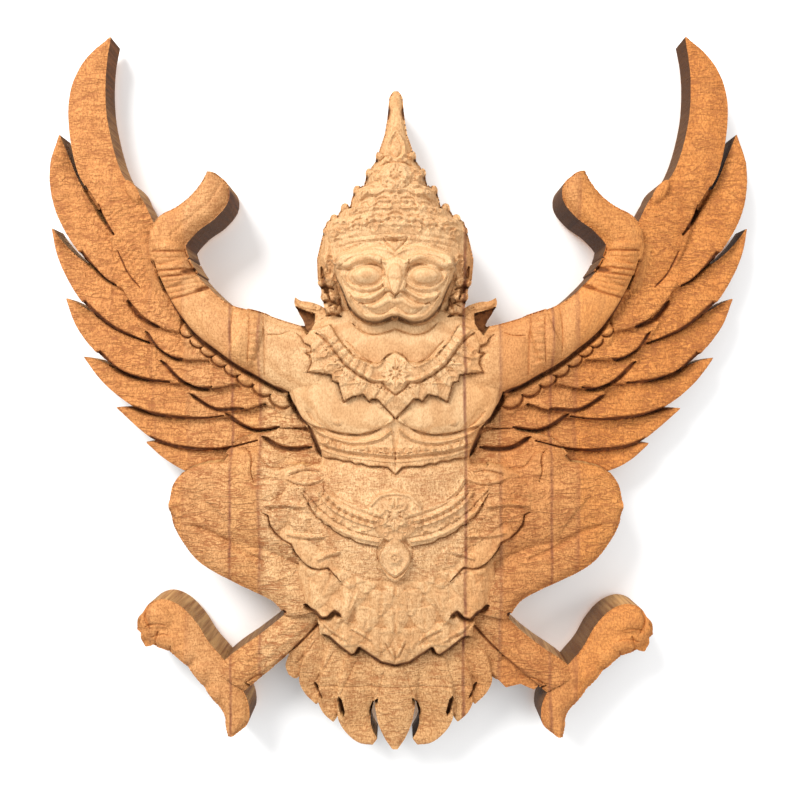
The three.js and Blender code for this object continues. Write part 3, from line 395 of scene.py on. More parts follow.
# Dark cuts between the feathers: [line, width, depth], both in millimetres.
WING_CUTS = [
    [[[43, 26.6], [42.3, 25.1], [41.3, 23.6], [40.5, 22.5]], 2.8, 3],
    [[[39.9, 20.2], [38.2, 16.7], [36.5, 14.8]], 1.2, 0.9],
    [[[45.3, 20], [43.6, 18], [41.7, 16.1], [40.2, 15.3]], 2.6, 2.8],
    [[[38.6, 13.1], [37.8, 12], [36.5, 10.6], [35.1, 9.9], [33.5, 9.3]], 2.8, 2.8],
    [[[45, 12.9], [41.5, 10], [39.6, 8.9], [37.5, 8], [35.4, 7.2]], 2.5, 2.6],
    [[[35.6, 8.7], [33.5, 6], [31.1, 4.8], [30.2, 4.9]], 2.6, 2.6],
    [[[42.9, 5.8], [39.9, 3.2], [38.2, 2.5], [35.4, 1.9], [32.5, 1.6]], 3, 3],
    [[[33.5, 4.6], [31.1, 2.2], [29.7, 1.2], [27.8, 0.6], [26.1, 0.9]], 3, 3],
    [[[39.3, -1.6], [35.4, -2.8], [31.8, -3.3], [28.3, -3.5], [24.7, -3.2]], 2.2, 2.2],
    [[[29.4, -0.1], [26.8, -1.8], [25.4, -2.3], [21.6, -2.2]], 3, 3],
    [[[35.8, -6.3], [32.8, -7.3], [31.1, -7.6], [25.4, -7.9], [19.7, -6.7]], 2, 2],
    [[[24.3, -2.9], [21.9, -4.6], [20.4, -5.2], [18.6, -5.3], [16.5, -4.8]], 3.2, 3.2],
    [[[18.9, -6.2], [16.5, -7.7], [14.1, -8], [11.9, -7.7]], 3.6, 3.8],
]
ARM_LINE = [
    [33.4, 16.2], [32, 13.1], [30.3, 10.4], [28.2, 7.7], [25.4, 5.6], [22.7, 3.7], [19.9, 2.2], [17.4, 0.8],
    [15, 0],
]
ARMPIT = [[15, 0.1], [14.9, -1], [13.2, -3.8], [12.4, -4.5]]
BODY_SIDE = [[12.2, -4.6], [11.6, -6.2], [10.5, -8.9]]
ARMLET = [
    [[22.9, 11.8], [23.1, 8.7], [22.9, 5]],
    [[20.6, 11.2], [20.4, 8], [20.7, 3.6]],
    [[18.6, 10.9], [18.3, 6.6], [18.3, 2.2]],
]
SHOULDER = [[17.8, 8], [16.1, 8], [14.7, 8.5]]
# Edges of the two wrist bands.
WRIST = [
    [[34.3, 19.8], [29.9, 19.8]],
    [[33.7, 17], [29.3, 17.3]],
    [[33, 16.1], [28.1, 16.7]],
    [[31.8, 13], [27.2, 14.2]],
]
ROPE = [[29.7, 8.4], [28.1, 7], [26.6, 5.8], [25, 4.5], [23.1, 3.2], [21.2, 1.8], [18.9, 0.5], [16.3, -1.1]]

# Face and head.
JAW_OUTER = [[6.7, 12.3], [5.9, 10.8], [4.5, 9.7], [2.8, 9.3], [1.3, 9.7], [-0.1, 10.4]]
JAW_INNER = [[6.2, 13.1], [5.1, 11.2], [4.2, 10.3], [3, 10], [1.7, 10.1], [-0.1, 10.8]]
CHIN_LINE = [[5.9, 9.5], [4.5, 8.3], [2.8, 7.9], [1, 8.3], [-0.1, 8.7]]
LIP_LINE = [[4.5, 12.1], [3.6, 11.3], [2.8, 10.7], [1.7, 10.6], [0.7, 11.2], [-0.1, 11.7]]
UPPER_LIP = [[4.3, 11.7], [3.2, 11.5], [2.1, 11.8], [1, 12.5], [-0.1, 12.3]]
MOUTH = [[4.9, 12.1], [4, 12], [3, 12.2], [2.1, 12.7], [1.2, 13.5], [0.6, 13.5], [-0.1, 12.8]]
CHEEK = [[6.3, 13.7], [5.3, 12.9], [4.3, 12.7], [3.2, 12.9], [2.1, 13.5], [1.3, 14.1]]
NOSE_SIDE = [[1.9, 17.9], [1.8, 16.9], [1.45, 15.9], [1, 14.9], [0.6, 13.8], [0, 12.8]]
NOSE_WING = [[1.3, 15.2], [1.7, 14.6], [1.4, 14]]
BROW_RIDGE = [
    [1.4, 17.4], [2.4, 18], [3.3, 18.3], [4.4, 18.1], [5.6, 17.6], [6.8, 17.3], [8.1, 17.6], [8.9, 18.3],
]
BROW_LINE = [[1.3, 16.5], [2.1, 17.1], [3, 17.4], [4.1, 17.3], [5.5, 16.8], [6.8, 16.7], [7.9, 16.9]]
UNDER_EYE = [[7.2, 16.3], [6.7, 15.2], [5.8, 14.4], [4.5, 14], [3.3, 14], [2.2, 14.4], [1.4, 15]]
CHEEK_SIDE = [[7.4, 15.8], [7, 14.4], [6.5, 13.3], [6, 12.3]]
TEMPLE = [[10, 19], [9.4, 17.7], [8.5, 16.9], [7.7, 16.5]]
HEAD_HOLLOW = [[10.3, 17.5], [10.1, 16], [9.6, 14.4], [9, 12.9]]
# Lines around the crown, from the forehead upwards.
FOREHEAD = [[-0.1, 20.6], [2.3, 20.6], [5, 20.5], [7.1, 20.1], [8.3, 19.8]]
DIADEM = [[-0.1, 21.6], [2.3, 21.4], [5, 21.2], [7.2, 21], [8.9, 20.6]]
TIER_LINES = [
    [[-0.1, 23.5], [2.3, 23.1], [4.8, 22.6], [7.1, 22.2], [8.8, 22]],
    [[-0.1, 24.2], [2.3, 23.9], [4.5, 23.5], [6.4, 23], [7.7, 22.6]],
    [[-0.1, 26.2], [2, 25.7], [3.9, 25.1], [5.6, 24.7]],
    [[-0.1, 26.7], [2, 26.3], [3.9, 25.8], [5.5, 25.4]],
    [[-0.1, 27.5], [1.7, 27.1], [3.7, 26.7], [5.2, 26.3]],
    [[-0.1, 28.5], [1.7, 28.3], [3.1, 28], [4.3, 28]],
]
SPIRE_FOOT = [[-0.1, 31.7], [1.2, 31.7], [2.3, 31.3]]
DROP = [[-0.1, 21.2], [1.5, 21.3], [0.9, 20.1], [-0.1, 18.9]]

# Chest.
COLLAR_EDGE = [
    [-0.1, -3.7], [1.4, -2.1], [2.5, -0.9], [3.2, -0.9], [3.6, -1.3], [4.4, -0.3], [5.9, -0.6], [7.1, -1.3],
    [7.6, 0.3], [7.8, 1.3], [8.7, 1.6], [8.8, 2.4], [10.6, 2.7], [12.1, 2.8], [11.5, 4], [11.7, 5],
    [12.3, 5.4], [11.5, 5.5], [11.7, 6.4], [12.6, 6.8], [13, 7.6], [13.6, 8.1],
]
NECK_OUT = [
    [11.1, 8.3], [9.6, 7.2], [8.2, 5.5], [6.9, 3.8], [5.1, 2.4], [3.2, 1.4], [1.6, 1.2], [1.3, 0.6],
    [-0.1, -0.4],
]
NECK_IN = [[6.9, 7.2], [5.9, 6.2], [4.8, 5], [3.5, 4.2], [2.4, 3.9], [1.7, 4.4], [1, 5.1], [-0.1, 5.4]]
BEAD_LINE = [[10, 6.5], [8.2, 4.2], [6.6, 2.3], [4.8, 1.3], [2.4, 0.8], [1, 0.1]]
NECK_ROW = [[9, 7.4], [7.6, 5.7], [6.1, 4.2], [4.6, 3.2], [3, 2.6]]
PEC = [
    [12.4, -2.6], [11.4, -3.9], [10.3, -4.7], [8.7, -5.5], [6.9, -5.9], [5.1, -5.9], [3.5, -5.7], [2.1, -5],
    [1, -3.9],
]
PEC_RIM = [[11.6, -4.8], [10.2, -5.6], [8.2, -6.3], [6.2, -6.7], [4.1, -6.7], [2.1, -6.2], [0.5, -5.1]]
BAND_TOP = [[10.6, -7.2], [7.6, -8.1], [4.8, -8.5], [2.1, -8.8], [-0.1, -9]]
BAND_ROW = [[10.2, -6.8], [7.6, -7.5], [4.8, -7.8], [2.1, -8], [-0.1, -8.1]]
BAND_EDGE = [
    [10, -9.1], [8.2, -9.2], [7.3, -9.5], [6.2, -9.5], [5.5, -9.9], [4.7, -9.8], [3.7, -10.2], [2.1, -10.2],
    [1, -10.3], [-0.1, -11.4],
]

# Waist and skirt.
BELT_EDGE = [
    [12.9, -14.1], [12.3, -15], [11.6, -16.3], [10.9, -17.3], [10.2, -17.6], [9.8, -18.2], [9.1, -18.4],
    [8.4, -19.1], [7.6, -19.5], [6.9, -19.9], [6.1, -20], [5.3, -20.6], [4.5, -20.8], [3.2, -21],
    [2.2, -21.2],
]
BELT_TOP = [[10.5, -13.3], [9.5, -14.7], [8.2, -15.8], [6.1, -16.9], [4.1, -17.6], [2.6, -18]]
BELT_ROW = [[11.4, -14.5], [10, -16], [8.4, -17.2], [6.8, -18], [5, -18.7], [3.1, -19.1]]
BELT_RIM = [
    [12, -15.2], [11.2, -16.2], [9.9, -17.3], [8.3, -18.4], [6.7, -19.2], [5, -19.8], [3.4, -20.2],
    [2.3, -20.4],
]
BUCKLE_ARC = [[3.4, -15.2], [2.3, -13.9], [0.9, -13.5], [-0.1, -13.4]]
PENDANT_LINE = [[2.4, -21.1], [2.4, -22.6], [1.7, -24], [0.9, -24.9], [-0.1, -25.6]]
KNOTS = [
    [[14.9, -11.1], [13.5, -10.6], [12.1, -10.5], [10.8, -10.9]],
    [[15.1, -12], [13.5, -12.4], [11.9, -12.5], [10.2, -12]],
    [[12.8, -13.2], [12, -14.2], [12.2, -15.2]],
]
HIP_EDGE = [
    [18.7, -16.7], [17.9, -17.1], [17.6, -18.6], [16.9, -19.6], [15.8, -20.5], [14.6, -21], [14.1, -22.2],
    [13.4, -23.1], [12.5, -24], [11.7, -24.4], [10.6, -24.5], [9.4, -24.3], [8.6, -25], [7.6, -26],
]
HIP_FOLDS = [
    [[18.3, -15.7], [15.5, -15.5], [12.7, -15.8]],
    [[15.2, -19.6], [12.7, -19.9], [9.8, -19.9]],
    [[10.8, -23.1], [9.4, -22.4], [7.7, -21.9]],
]
HIP_CURVE = [[20.8, -8.3], [19.7, -8.1], [18.7, -9.5], [17.9, -10.3], [15.9, -10.5]]
LOBE_EDGE = [
    [12.9, -29.7], [12.4, -30.1], [11.5, -30.5], [10.4, -31.5], [9.4, -31.3], [8.5, -30.4], [7.6, -31.1],
]
SKIRT_EDGE = [
    [10.6, -33.9], [9.4, -34.3], [7.6, -35.9], [6.2, -36.9], [5.5, -36.6], [5.1, -35.8], [3.3, -37],
    [2, -37.9], [-0.1, -38.4],
]
SKIRT_FOLDS = [
    [[10.6, -31.3], [9, -33], [6.9, -34.4]],
    [[6.2, -32.7], [4.8, -33.3], [3.4, -34.4]],
    [[1.2, -34.4], [0.6, -35.8], [0.1, -36.8]],
]

# Tail and legs.
TAIL_SLOT = [[2.5, -43.4], [3.3, -45.4], [2.8, -47.5], [2, -48.1]]
TAIL_PIT = [[8, -43.1], [7.4, -45.8]]
TAIL_CRACK = [[11.5, -41.3], [10.5, -43.4]]
TAIL_SHANK = [[10.8, -32.4], [12.8, -34.5], [14.8, -36.4]]
TAIL_RIBS = [
    [[2.6, -43.2], [2, -41], [1.6, -39.4]],
    [[7.8, -42.8], [6.6, -40.2], [5.6, -38]],
    [[11.4, -41], [9.8, -38.6], [8.8, -36.6]],
    [[14.2, -38.6], [12.6, -36.6], [11.4, -35]],
]
CREASE = [[28.8, -18.6], [25.3, -20], [22.9, -21.7], [20.4, -23], [18.7, -23.6]]
HEEL = [[21.5, -41], [20, -42.8], [19.4, -45], [20.5, -47.1]]
SHANK_UPPER = [[22.5, -35.9], [19.3, -33.4], [16, -30.6]]
SHANK_LOWER = [[14.8, -36.4], [17.3, -38.5], [18, -40], [19.6, -39.9], [21.4, -40.9]]

# Fields of small leaves and softened forms, on the face, the ear and the crown.
FACE_FIELD = [
    [0, 20.2], [5, 20], [8.4, 19], [9, 17], [7.6, 14.4], [6.4, 12], [4.6, 10.4], [2.6, 9.9], [0, 10.6],
]
EAR_LEAVES = [
    [7.2, 17.8], [9.2, 19.8], [10.4, 18], [10.6, 15.5], [9.4, 13], [8.4, 11], [7.4, 12.6], [8, 15],
]
EAR_UNDERSIDE = [
    [14.3, 12.2], [13.3, 11.7], [12.3, 11.3], [11.3, 11], [11.3, 9.6], [12.2, 8], [13.4, 9.8], [14.4, 11.2],
]
CROWN_FIELDS = [  # outline, seed, grain and rise
    ([[0, 23.6], [4.8, 22.8], [9.4, 22.2], [10.4, 20], [5.2, 21.4], [0, 21.8]], 33, 4, 1),
    ([[0, 26.2], [4.6, 25.1], [8.2, 24.6], [9.6, 22.4], [6.4, 23.1], [0, 24.4]], 34, 4.4, 1.2),
    ([[0, 28.3], [4.4, 27.8], [6.6, 27.2], [7.6, 25.2], [3.9, 25.4], [0, 26.4]], 35, 4.2, 1.1),
    ([[2.4, 31.6], [4.2, 30.4], [4.6, 28.8], [2.4, 28.4], [2, 30]], 36, 3.6, 0.9),
]


out_line = np.arange(0, REACH_OUT, PITCH)
up_line = np.arange(-REACH_UP, REACH_UP + PITCH, PITCH)
rows, columns = len(up_line), len(out_line)
height = np.zeros((rows, columns))
inside = np.full((rows, columns), OUTSIDE)  # distance inside the outline
shade_and_dirt = np.zeros((rows, columns))  # dark dirt and shade in the cuts
ripple = np.full((rows, columns), 0.5)  # strength of the tool marks


def level(share):
    return DEPTH * share / 100


def mix(a, b, t):
    return a + (b - a) * t


def ease(t):
    t = np.clip(t, 0, 1)
    return t * t * (3 - 2 * t)


def arch(v):
    return np.sqrt(np.clip(1 - (2 * v - 1) ** 2, 0, 1))


def flip(places):
    return [[-out, up] for out, up in places]


def smooth_line(places):
    """Evenly spaced points along a smooth line through the given places."""
    given = np.array(places, float) * UNIT
    padded = np.vstack([2 * given[0] - given[1], given, 2 * given[-1] - given[-2]])
    pieces = []
    for at in range(len(given) - 1):
        p0, p1, p2, p3 = padded[at : at + 4]
        d0, d1, d2 = (max(np.linalg.norm(b - a) ** 0.5, 1e-3) for a, b in ((p0, p1), (p1, p2), (p2, p3)))
        leave = ((p1 - p0) / d0 - (p2 - p0) / (d0 + d1) + (p2 - p1) / d1) * d1
        arrive = ((p2 - p1) / d1 - (p3 - p1) / (d1 + d2) + (p3 - p2) / d2) * d1
        t = np.linspace(0, 1, CURVE_STOPS, endpoint=False)[:, None]
        part = (2 * t**3 - 3 * t**2 + 1) * p1 + (t**3 - 2 * t**2 + t) * leave
        pieces.append(part + (3 * t**2 - 2 * t**3) * p2 + (t**3 - t**2) * arrive)
    line = np.vstack(pieces + [given[-1:]])
    walked = np.concatenate([[0], np.cumsum(np.linalg.norm(np.diff(line, axis=0), axis=1))])
    count = max(2, int(math.ceil(walked[-1] / SPACING)) + 1)
    stops = np.linspace(0, walked[-1], count)
    return np.column_stack([np.interp(stops, walked, line[:, axis]) for axis in (0, 1)])


def traced(places, sharp):
    """Points along a line through the given places, straight from one to the next or smooth."""
    return np.array(places, float) * UNIT if sharp else smooth_line(places)


def moved(places, out, up):
    return [[a + out, b + up] for a, b in places]


def arc(middle, size, turns):
    return [[middle[0] + size[0] * math.cos(t), middle[1] + size[1] * math.sin(t)] for t in turns]


def patch(points, margin):
    """The part of the field around some points."""
    low = points.min(axis=0) - margin
    high = points.max(axis=0) + margin
    left = int(np.clip((low[0] - out_line[0]) / PITCH, 0, columns - 1))
    right = int(np.clip((high[0] - out_line[0]) / PITCH + 2, 1, columns))
    bottom = int(np.clip((low[1] - up_line[0]) / PITCH, 0, rows - 1))
    top = int(np.clip((high[1] - up_line[0]) / PITCH + 2, 1, rows))
    return slice(bottom, top), slice(left, right)


def grid_of(cells):
    return out_line[cells[1]][None, :], up_line[cells[0]][:, None]


def along(points, cells):
    """Distance to a line, length walked along it to the nearest point, and the side of the line."""
    x, z = grid_of(cells)
    nearest = np.full((x * z).shape, 1e12)
    walked = np.zeros_like(nearest)
    side = np.zeros_like(nearest)
    start = 0.0
    for a, b in zip(points[:-1], points[1:]):
        run = b - a
        span = max(float(run @ run), 1e-9)
        t = np.clip(((x - a[0]) * run[0] + (z - a[1]) * run[1]) / span, 0, 1)
        gap_x = x - a[0] - t * run[0]
        gap_z = z - a[1] - t * run[1]
        square = gap_x**2 + gap_z**2
        closer = square < nearest
        nearest = np.where(closer, square, nearest)
        walked = np.where(closer, start + t * span**0.5, walked)
        side = np.where(closer, np.sign(run[0] * gap_z - run[1] * gap_x), side)
        start += span**0.5
    return np.sqrt(nearest), walked, side, start


def within(points, cells):
    """True inside a closed outline."""
    x, z = grid_of(cells)
    found = np.zeros((x * z).shape, bool)
    for a, b in zip(points, np.roll(points, -1, axis=0)):
        if a[1] != b[1]:
            crosses = (a[1] > z) != (b[1] > z)
            found ^= crosses & (x < (b[0] - a[0]) * (z - a[1]) / (b[1] - a[1]) + a[0])
    return found


def ribbon(edge_a, edge_b, sharp=False, margin=2):
    """Cells near the form between two edges: depth inside it, share along and share across."""
    a, b = traced(edge_a, sharp), traced(edge_b, sharp)
    outline = np.vstack([a, b[::-1]])
    cells = patch(outline, margin)
    to_a, walked_a, _, length_a = along(a, cells)
    to_b, walked_b, _, length_b = along(b, cells)
    ends = np.minimum(along(np.array([a[0], b[0]]), cells)[0], along(np.array([a[-1], b[-1]]), cells)[0])
    deep = np.minimum(np.minimum(to_a, to_b), ends)
    deep = np.where(within(outline, cells), deep, -deep)
    across = to_a / (to_a + to_b + 1e-6)
    share = mix(walked_a / length_a, walked_b / length_b, across)
    return cells, deep, share, across


def closed(places, sharp=False):
    """Cells near a closed outline, and depth inside it."""
    outline = traced(list(places) + [places[0]], sharp)
    cells = patch(outline, 2)
    deep = along(outline, cells)[0]
    return cells, np.where(within(outline, cells), deep, -deep)


def lay(cells, deep, top, marks=None):
    """Lays a form on the carving: it shows where it stands higher than what is there."""
    cover = np.clip(0.5 + deep / STEP_WIDTH, 0, 1)
    here = height[cells]
    gain = cover * np.maximum(0, top - here)
    if marks is not None:
        ripple[cells] = np.where(gain > SHOWN, mix(ripple[cells], marks, cover), ripple[cells])
    height[cells] = here + gain
    inside[cells] = np.maximum(inside[cells], deep)


def lay_on(found, surface, rise, marks=0.3):
    """Lays a form that stands so far off a surface."""
    cells, deep = found[:2]
    lay(cells, deep, surface(*grid_of(cells)) + rise, marks)


def slab(places, share, marks):
    """Lays a form with a flat top."""
    lay(*closed(places), level(share), marks)


def darken(cells, amount):
    """Leaves grime and painted shade where there was less."""
    shade_and_dirt[cells] = np.maximum(shade_and_dirt[cells], amount)


def oval(middle, size, turn=0.0, margin=1):
    """Cells around an oval, and how far each is from its middle in shares of its two half widths."""
    centre = np.array(middle, float) * UNIT
    cells = patch(centre[None, :], max(size) * UNIT + margin)
    x, z = grid_of(cells)
    x, z = x - centre[0], z - centre[1]
    a = (x * math.cos(turn) + z * math.sin(turn)) / (size[0] * UNIT)
    b = (z * math.cos(turn) - x * math.sin(turn)) / (size[1] * UNIT)
    return cells, a, b


def lift(cells, deep, rise, edge=0.8):
    """Raises what is inside an outline, with a rounded edge."""
    height[cells] += rise * ease(0.5 + deep / edge / 2)


def taper(walked, length, ends):
    """How wide a line is at each place, where it thins over a share of its length at either end."""
    share = walked / length
    return np.clip(np.minimum(share / ends[0], (1 - share) / ends[1]), LEAST_TAPER, 1) ** 0.5


def cut(places, width, depth, dark=1.0, ends=(0.15, 0.15), sharp=False):
    """Cuts a groove along a line."""
    line = traced(places, sharp)
    cells = patch(line, width + 1)
    gap, walked, _, length = along(line, cells)
    reach = width / 2 * taper(walked, length, ends)
    share = np.clip(1 - (gap / reach) ** 2, 0, 1)
    height[cells] -= depth * share * np.minimum(1, height[cells] / THIN)
    # painted shade and grime along the groove
    darken(cells, dark * ease(1.3 - gap / reach))


def ridge(places, width, rise, ends=(0.2, 0.2), sharp=False):
    """Leaves a rounded rib standing along a line."""
    line = traced(places, sharp)
    cells = patch(line, width + 1)
    gap, walked, _, length = along(line, cells)
    reach = width / 2 * taper(walked, length, ends)
    height[cells] += rise * np.clip(1 - (gap / reach) ** 2, 0, 1) ** 0.7


def beads(places, pitch, width, rise):
    """A row of round beads along a line."""
    line = smooth_line(places)
    cells = patch(line, width + 1)
    gap, walked, _, length = along(line, cells)
    count = max(1, round(length / pitch))
    step = length / count
    off = (walked / step) % 1 - 0.5
    round_off = 1 - (off * step / (width / 2)) ** 2 - (gap / (width / 2)) ** 2
    height[cells] += rise * np.sqrt(np.clip(round_off, 0, 1))


def leaves(places, pitch, length, rise, side):
    """A row of pointed leaves that stand on one side of a line."""
    line = smooth_line(places)
    cells = patch(line, length + 2)
    gap, walked, which, total = along(line, cells)
    count = max(1, round(total / pitch))
    step = total / count
    out = gap * which * side / length
    phase = (walked / step) % 1 - 0.5
    half = 0.46 * np.sqrt(np.clip(1 - out, 0, 1)) * ease(out * 6 + 0.4)
    body = np.clip(1 - (phase / np.maximum(half, 1e-3)) ** 2, 0, 1) ** 0.5
    body = np.where((out > 0) & (out < 1) & (walked > 0.01) & (walked < total - 0.01), body, 0)
    vein = 0.35 * np.clip(1 - np.abs(phase) / 0.07, 0, 1) * (body > 0)
    height[cells] += rise * (body - vein * body)
    # painted shade between and beside the leaves
    darken(cells, 0.3 * ((out > 0) & (out < 1)) * (1 - ease(body * 2.2)) * ease(4 - out * 4))


def lens(middle, size, rise, turn=0.0, power=0.7):
    """A low oval swelling."""
    cells, a, b = oval(middle, size, turn)
    height[cells] += rise * np.clip(1 - a * a - b * b, 0, 1) ** power


def flower(middle, radius, petals, rise, dark=0.15):
    """A round flower with a button in the middle."""
    centre = np.array(middle, float) * UNIT
    reach = radius * UNIT
    cells = patch(centre[None, :], reach + 1)
    x, z = grid_of(cells)
    x, z = x - centre[0], z - centre[1]
    share = np.hypot(x, z) / reach
    turn = np.arctan2(z, x)
    edge = 0.82 + 0.18 * np.cos(turn * petals)
    ring = np.clip(1 - ((share - 0.6) / (edge - 0.5)) ** 2, 0, 1) ** 0.5
    ring = ring * (1 - 0.5 * np.clip(1 - np.abs(np.sin(turn * petals / 2)) / 0.25, 0, 1))
    button = np.clip(1 - (share / 0.27) ** 2, 0, 1) ** 0.5
    height[cells] += rise * np.maximum(ring, button)
    # painted shade in the ring around the button
    darken(cells, dark * np.clip(1 - np.abs(share - 0.33) / 0.1, 0, 1))


def scroll(middle, radius, turns, width, rise, start=0.0, hand=1):
    """A spiral rib."""
    stops = np.linspace(0, 1, 14)
    angle = start + hand * turns * 2 * math.pi * stops
    reach = radius * (1 - 0.8 * stops)
    places = [arc(middle, [r, r], [t])[0] for r, t in zip(reach, angle)]
    ridge(places, width, rise, ends=(0.05, 0.4))


def noise(seed, across, upward):
    """Smooth random field between -1 and 1 with grains of the given size in millimetres."""
    x, z = out_line[None, :] / across, up_line[:, None] / upward
    low_x, low_z = math.floor(x.min()), math.floor(z.min())
    tall, wide = math.ceil(z.max()) - low_z + 2, math.ceil(x.max()) - low_x + 2
    lattice = np.random.default_rng(seed).uniform(-1, 1, (tall, wide))
    col, row = np.floor(x - low_x).astype(int), np.floor(z - low_z).astype(int)
    fx, fz = ease(x - low_x - col), ease(z - low_z - row)
    lower = mix(lattice[row, col], lattice[row, col + 1], fx)
    upper = mix(lattice[row + 1, col], lattice[row + 1, col + 1], fx)
    return mix(lower, upper, fz)


def blurred(field, passes):
    for _ in range(passes):
        padded = np.pad(field, 1, mode="edge")
        field = (padded[:-2, 1:-1] + padded[2:, 1:-1] + padded[1:-1, :-2] + padded[1:-1, 2:] + 2 * field) / 6
    return field


def stack_height(stations):
    """The height at any place on a stack of stations: [up, half width, level at edge, level in middle]."""
    table = np.array(stations[::-1], float)

    def at(x, z):
        half, rim, crown = (np.interp(z / UNIT, table[:, 0], table[:, of]) for of in (1, 2, 3))
        share = np.minimum(1, np.abs(x) / UNIT / half)
        return level(mix(rim, crown, np.sqrt(1 - share**2)))

    return at


on_body = stack_height(BODY)
on_head = stack_height(HEAD)
on_skirt = stack_height(SKIRT)


def sink(places, width, drop, side, sharp=False, dark=0.0):
    """Lets the wood on one side of a line fall away from it, so that the other side stands out."""
    line = traced(places, sharp)
    cells = patch(line, width + 2)
    gap, walked, which, length = along(line, cells)
    signed = gap * which * side
    fall = ease(0.5 + signed / STEP_WIDTH) * ease(1 - gap / width) * ease(taper(walked, length, (0.05, 0.05)))
    height[cells] -= drop * fall
    # painted shade where the wood falls away beside the line
    darken(cells, dark * fall * ease(1.4 - 2.4 * gap / width))


def hole(middle, size, depth, dark=1.0, turn=0.0):
    """A small pit with a floor darkened by painted shade and grime."""
    cells, a, b = oval(middle, size, turn)
    share = np.sqrt(a * a + b * b)
    height[cells] -= depth * np.clip((1 - share) * 1.8, 0, 1)
    darken(cells, dark * ease(2.2 - 2 * share))


def lozenges(places, pitch, width, rise):
    """A row of four-sided points along a line."""
    line = smooth_line(places)
    cells = patch(line, width + 1)
    gap, walked, _, length = along(line, cells)
    step = length / max(1, round(length / pitch))
    off = np.abs((walked / step) % 1 - 0.5)
    height[cells] += rise * np.clip(1 - off * 2 - gap / (width / 2), 0, 1) ** 0.8


def flames(shape, middle, first, last, rows, pitch, rise):
    """Rows of pointed leaves that spread down from a middle, inside an outline."""
    cells, deep = closed(shape, sharp=True)
    x, z = grid_of(cells)
    x, z = x / UNIT - middle[0], z / UNIT - middle[1]
    reach, turn = np.hypot(x, z), np.arctan2(x, -z)
    length = (last - first) / rows
    best = np.zeros_like(reach)
    for row in range(rows + 1):
        start = first + length * (row - 0.35)
        down = (reach - start) / (length * 1.35)
        count = (start + length) / pitch
        side = (turn * count + 0.5 * (row % 2)) % 1 - 0.5
        half = 0.5 * np.clip(1 - down**2, 0, 1) ** 0.7
        body = np.clip(1 - (side / np.maximum(half, 1e-3)) ** 2, 0, 1) ** 0.6 * ((down > 0) & (down < 1))
        vein = 0.5 * np.clip(1 - np.abs(side) / 0.08, 0, 1)
        best = np.maximum(best, (body - vein * body) * (0.55 + 0.45 * np.clip(down, 0, 1)))
    height[cells] += rise * best * ease(deep / 2)
    # painted shade between the leaves
    darken(cells, 0.3 * (1 - ease(best * 3)) * ease(deep / 2))


def foliage(shape, seed, grain, rise, dark=0.25):
    """Small curled ribs all over the inside of an outline."""
    cells, deep = closed(shape, sharp=True)
    gap = np.abs(noise(seed, grain, grain * 0.8)[cells])
    rib = (1 - ease(gap * 3.4)) * ease(deep / 1.6)
    height[cells] += rise * rib
    # painted shade between the ribs
    darken(cells, dark * ease((gap - 0.3) * 4) * ease(deep / 1.6))


def soften(shape, passes):
    """Rounds off the edges of the forms inside an outline."""
    cells, deep = closed(shape, sharp=True)
    height[cells] = mix(height[cells], blurred(height[cells], passes), ease(deep / 3))


def strip(places, width):
    """The outline of a strip of even width along a line."""
    line = smooth_line(places) / UNIT
    run = np.gradient(line, axis=0)
    run /= np.linalg.norm(run, axis=1)[:, None]
    off = np.column_stack([-run[:, 1], run[:, 0]]) * width / 2
    return np.vstack([line + off, (line - off)[::-1]]).tolist()


def shade_barb_grooves(cells, deep, top, groove):
    """Darkens the grooves between barbs with grime and painted shade, where the feather shows."""
    shown = (deep > 0.4) & (top > height[cells] - SHOWN)
    darken(cells, BARB_SHADE_AND_DIRT * ease(groove * 5 - 1.5) * (0.6 + 0.4 * noise(7, 3, 3)[cells]) * shown)


def feather(shape, levels, step, marks=0.6, barbs=0.0):
    """A feather that falls towards its free edge, with slanting barbs where they are asked for."""
    free, tucked = shape
    cells, deep, u, v = ribbon(tucked, free)
    top = level(mix(*levels, ease(np.minimum(1, u * 1.4))))
    top = top - step * ease(u * 5) * np.clip(1 - v, 0, 1) ** 1.6
    top = top - 0.9 * np.clip(1 - deep / 1.8, 0, 1) ** 2
    if barbs:
        length = float(np.hypot(*(np.array(free[0]) - free[-1]))) * UNIT
        slant = u * length / BARB_PITCH + 1.6 * np.abs(v - 0.45) + 0.35 * noise(6, 5, 5)[cells]
        groove = (0.5 - np.abs(slant % 1 - 0.5)) * ease(u * 4 - 0.6)
        top = top + barbs * (0.25 - groove)
    lay(cells, deep, top, marks)
    if barbs:
        shade_barb_grooves(cells, deep, top, groove)


def limb(edge_a, edge_b, levels, marks=0.6, power=1.0):
    """A rounded form between two edges."""
    cells, deep, u, v = ribbon(edge_a, edge_b)
    low, high = level(mix(*levels["rim"], u)), level(mix(*levels["crown"], u))
    lay(cells, deep, mix(low, high, arch(v) ** power), marks)


def dome(middle, size, levels, turn=0.0, marks=0.5):
    """A rounded oval form."""
    cells, a, b = oval(middle, size, turn, 2)
    share = np.sqrt(a * a + b * b)
    top = level(mix(*levels, np.sqrt(np.clip(1 - share**2, 0, 1))))
    lay(cells, (1 - share) * min(size) * UNIT, top, marks)


def stack(stations, surface, marks=0.3):
    """The form that a stack of stations describes."""
    side = [[half, up] for up, half, _, _ in stations]
    lay_on(closed(side + flip(side[::-1]), sharp=True), surface, 0, marks)


def cloth_layer(shape, surface, lifts, marks=0.3):
    """A layer that stands off what it lies on by so many lifts of a band at its lower and upper edges."""
    found = ribbon(shape["lower"], shape["upper"], sharp=True)
    lay_on(found, surface, BAND_LIFT * mix(*lifts, found[3]), marks)


